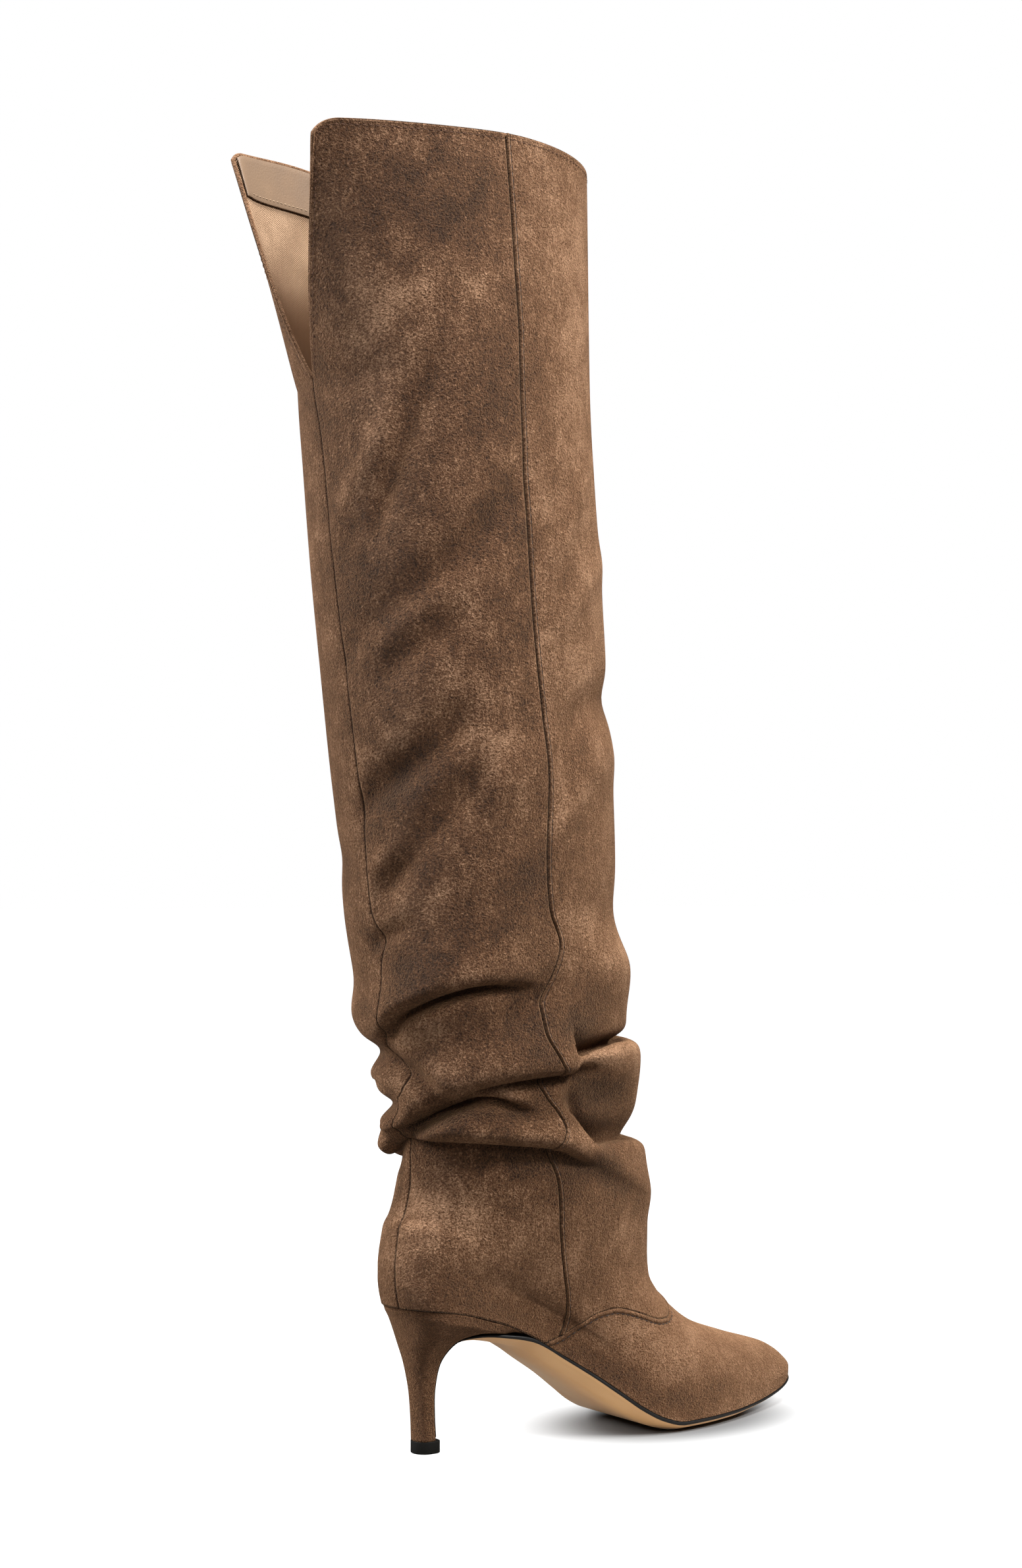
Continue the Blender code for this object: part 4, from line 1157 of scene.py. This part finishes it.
# Outsole: tread, shank and the strip down the heel's breast.
soleTop = {
    "x": (3.5, 2.9, 2.5, 2.8, 3.7, 6.0, 11.5, 22.0, 33.0, 43.5),
    "z": (5.8, 14.0, 25.0, 32.0, 39.0, 44.9, 50.4, 52.5, 51.5, 49.4),
    "half": (4.4, 4.4, 4.7, 5.5, 6.9, 9.3, 12.8, 19.6, 22.4, 23.2),
    "thickness": (0.8, 0.8, 0.8, 0.9, 1.1, 1.5, 2.2, 3.6, 4.9, 5.7),
}
soleMake = {
    "shankX": (52, 60, 75, 88, 100, 111, 122, 155, 178, 198, 220.2),
    "thickness": (6.2, 6.6, 6.8, 6.6, 6.0, 5.2, 4.6, 4.6, 3.6, 2.5, 1.8),
    "band": (1.1, 1.2, 1.4, 1.5, 1.6, 1.6, 1.5, 1.3, 1.1, 1.0, 0.9),      # depth of the black edge
    "stripBand": 0.3,         # the same on the strip, as a share of its thickness
    "stripEnd": 1.5,          # length of the strip's rounded lower end
    "gap": 0.3,
    "edge": 0.4,
    "bevelInset": 9.0,
    "bevelMost": 0.55,        # share of the half width that the bevel leaves at least
    "spineEnd": 0.012,
    "columns": 260,
    # inset, share of the band and share of the rest, from the middle of the top to the middle of the
    # bottom
    "section": ((1, 0, 0), (0.10, -0.05, 0), (0.04, 0, 0), (0.01, 0.12, 0), (0, 0.3, 0), (0, 0.6, 0),
                (0, 0.9, 0), (0.02, 1, 0), (0.06, 1, 0.12), (0.16, 1, 0.3), (0.34, 1, 0.52),
                (0.6, 1, 0.76), (0.9, 1, 1), (1, 1, 1)),
    "blackRows": 7,
}


def soleLoop(section, columns, onSpine, spineEnd):
    # one loop round the plan for each row of a section; the rows on the spine stop short of both ends
    around = np.linspace(0.0, 1.0, columns + 1)
    share = np.tile(0.5 - 0.5 * np.cos(2.0 * math.pi * around), (len(section), 1))
    share = np.where(onSpine[:, None], spineEnd + share * (1.0 - 2.0 * spineEnd), share)
    side = np.where(around <= 0.5, -1.0, 1.0)
    return share, side, [np.repeat(column[:, None], len(around), axis=1) for column in section.T]


def makeOutsole():
    make = soleMake
    xs, zs = list(soleTop["x"]), list(soleTop["z"])
    halves, thick = list(soleTop["half"]), list(soleTop["thickness"])
    centres, bands = [0.0] * len(xs), [make["stripBand"] * value for value in thick]
    for x, thickness, band in zip(make["shankX"], make["thickness"], make["band"]):
        share = min(featherShare(x), 1.0)
        xs.append(x)
        zs.append(float(featherZ(x)) - make["gap"])
        halves.append(float(outlineHalf(share)) + make["edge"])
        centres.append(float(outlineCentre(share)))
        thick.append(thickness)
        bands.append(band)
    run = runAlong(np.stack([xs, zs], axis=-1))
    length, shankRun = run[-1], run[len(soleTop["x"])]
    section = np.array(make["section"], float)
    share, side, (inset, bandShare, restShare) = soleLoop(
        section, make["columns"], section[:, 0] >= 1.0, make["spineEnd"])
    along = share * length
    x, z = monotone(run, xs, along), monotone(run, zs, along)
    ahead, behind = np.minimum(along + 1.0, length), np.maximum(along - 1.0, 0.0)
    dx = monotone(run, xs, ahead) - monotone(run, xs, behind)
    dz = monotone(run, zs, ahead) - monotone(run, zs, behind)
    tangent = np.hypot(dx, dz)
    band = monotone(run, bands, along)
    depth = band * bandShare + (monotone(run, thick, along) - band) * restShare
    # the foot's plan, let out by the edge, and the strip's own width behind it
    footShare = featherShare(x)
    footHalf = outlineHalf(np.clip(footShare / featherShare(bootForm["toeX"] + make["edge"]), 0.0, 1.0))
    footHalf = footHalf + make["edge"] * np.sqrt(np.clip(1.0 - footShare, 0.0, 1.0))
    short = np.clip(1.0 - along / make["stripEnd"], 0.0, 1.0)
    stripHalf = monotone(run, halves, along) * np.sqrt(1.0 - short**2)
    half = np.where(along >= shankRun, footHalf, stripHalf)
    bevelled = np.maximum(half - inset * make["bevelInset"], make["bevelMost"] * half)
    reach = np.where(inset < 1.0, bevelled, 0.0)
    x = x + depth * dz / tangent
    z = z - depth * dx / tangent
    points = np.stack([x, monotone(run, centres, along) + side * reach, z], axis=-1)
    rowNumber = np.repeat(np.arange(len(section))[:, None], points.shape[1], axis=1)
    piece = gridPiece("treadSole", points, {"sectionRow": rowNumber}, outward=True)
    rowMark = piece.data.attributes["sectionRow"].data
    for face in piece.data.polygons:
        highest = max(rowMark[i].value for i in face.vertices)
        face.material_index = 1 if highest <= make["blackRows"] else 0
    return piece


finishPiece(makeOutsole(), ("outsole",), (soleTan, edgeBlack))

# Footbed inside.
footbedMake = {
    "inset": 3.4,
    "lift": 0.5,
    "thickness": 2.0,
    "spineEnd": 0.03,
    "columns": 160,
    # width share and height share from the middle of the top to the middle of the underside
    "section": ((0, 1), (0.3, 1), (0.6, 1.02), (0.85, 1.08), (0.96, 1.1), (1, 0.95), (1, 0), (0, 0)),
}


def makeFootbed():
    make = footbedMake
    back, front = bootForm["backX"] + make["inset"], bootForm["toeX"] - make["inset"]
    section = np.array(make["section"], float)
    share, side, (width, height) = soleLoop(section, make["columns"], section[:, 0] == 0.0, make["spineEnd"])
    x = back + share * (front - back)
    place = featherShare(x)
    half = np.clip(outlineHalf(place) - make["inset"], 0.0, None) * ((share > 0.0) & (share < 1.0))
    y = outlineCentre(place) + side * half * width
    z = featherZ(x) + make["lift"] + height * make["thickness"]
    return gridPiece("footbed", np.stack([x, y, z], axis=-1), outward=True)


finishPiece(makeFootbed(), ("insole",), (footbedSkin,))

# Pale floor, studio light and camera.
studio = {
    "backdrop": tone(255, 255, 255),
    "floorColour": tone(104, 104, 104),
    "bounceNear": tone(136, 132, 126),    # what the paper throws back under the sole and further out
    "bounceFar": tone(96, 94, 92),
    "bounceSpread": (1.0, 3.2),
    "floorSize": 60.0,
    "shadowPlace": (0.134, -0.008, 0.0),  # the paper fades to white round an oval under the boot
    "shadowReach": (0.066, 0.046, 1.0),
    "shadowFade": (0.55, 1.35),
    "mirrored": 0.06,                     # how bright the paper is in the sole's gloss
    "cameraPlace": (-0.6082, -0.9365, 0.251),
    "cameraTurn": (92.48, 0.0, -35.0),
    "lens": 37.75,
    "worldLight": 0.07,
}


def makeFloor():
    bpy.ops.object.select_all(action="DESELECT")
    bpy.ops.mesh.primitive_grid_add(x_subdivisions=4, y_subdivisions=4, size=studio["floorSize"])
    floor = bpy.context.object
    floor.name = "studioFloor"
    material, tree, shader = newMaterial("floorPaper", 0.9)
    # the paper is pale to the eye, throws little light back on the boot and fades out into the backdrop
    ray = addNode(tree, "ShaderNodeLightPath")
    seen = ray.outputs["Is Camera Ray"]
    place = addNode(tree, "ShaderNodeTexCoord").outputs["Object"]
    oval = addNode(tree, "ShaderNodeMapping", {"vector_type": "TEXTURE"}, Vector=place,
                   Location=studio["shadowPlace"], Scale=studio["shadowReach"]).outputs[0]
    far = addNode(tree, "ShaderNodeVectorMath", {"operation": "LENGTH"}, in0=oval).outputs["Value"]
    spread = remap(tree, far, *studio["bounceSpread"])
    bounce = mixColour(tree, spread, studio["bounceNear"], studio["bounceFar"])
    colour = mixColour(tree, seen, bounce, studio["floorColour"])
    glow = remap(tree, far, *studio["shadowFade"])
    mirrored = mathNode(tree, "MULTIPLY", ray.outputs["Is Glossy Ray"], studio["mirrored"])
    glow = mathNode(tree, "ADD", mathNode(tree, "MULTIPLY", glow, seen), mirrored)
    setInputs(tree, shader, Base_Color=colour, Specular_IOR_Level=0.0, Emission_Strength=glow,
              Emission_Color=studio["backdrop"])
    floor.data.materials.append(material)


def addLight(name, place, target, size, power):
    bpy.ops.object.light_add(type="AREA", location=place)
    light = bpy.context.object
    light.name = name
    light.data.shape = "DISK"
    light.data.size = size
    light.data.energy = power
    aim = np.subtract(target, place)
    flat = math.hypot(aim[0], aim[1])
    light.rotation_euler = (math.atan2(flat, -aim[2]), 0.0, math.atan2(aim[1], aim[0]) - 0.5 * math.pi)


# place, target, size in metres and power in watts of each soft light
softboxes = {
    "keySoftbox": ((0.70, -1.35, 1.60), (0.03, 0.0, 0.30), 0.5, 60.0),
    "fillSoftbox": ((-1.3, -1.4, 1.3), (0.0, 0.0, 0.30), 0.8, 13.0),
    "rimSoftbox": ((-1.2, 0.9, 1.1), (0.0, 0.0, 0.30), 0.8, 56.0),
    "topSoftbox": ((-0.05, -0.55, 2.2), (0.03, 0.0, 0.25), 0.8, 76.0),
}


def makeStudio():
    makeFloor()
    for name, values in softboxes.items():
        addLight(name, *values)
    world = bpy.context.scene.world or bpy.data.worlds.new("studioWorld")
    bpy.context.scene.world = world
    world.use_nodes = True
    tree = world.node_tree
    seen = addNode(tree, "ShaderNodeLightPath").outputs["Is Camera Ray"]
    strength = remap(tree, seen, 0.0, 1.0, studio["worldLight"], 1.0, False)
    setInputs(tree, tree.nodes["Background"], Color=studio["backdrop"], Strength=strength)
    turn = [math.radians(v) for v in studio["cameraTurn"]]
    bpy.ops.object.camera_add(location=studio["cameraPlace"], rotation=turn)
    camera = bpy.context.object
    camera.data.sensor_fit = "VERTICAL"
    camera.data.sensor_height = 24.0
    camera.data.lens = studio["lens"]
    bpy.context.scene.camera = camera
    bpy.context.scene.view_settings.view_transform = "Standard"


makeStudio()
print("studio made")
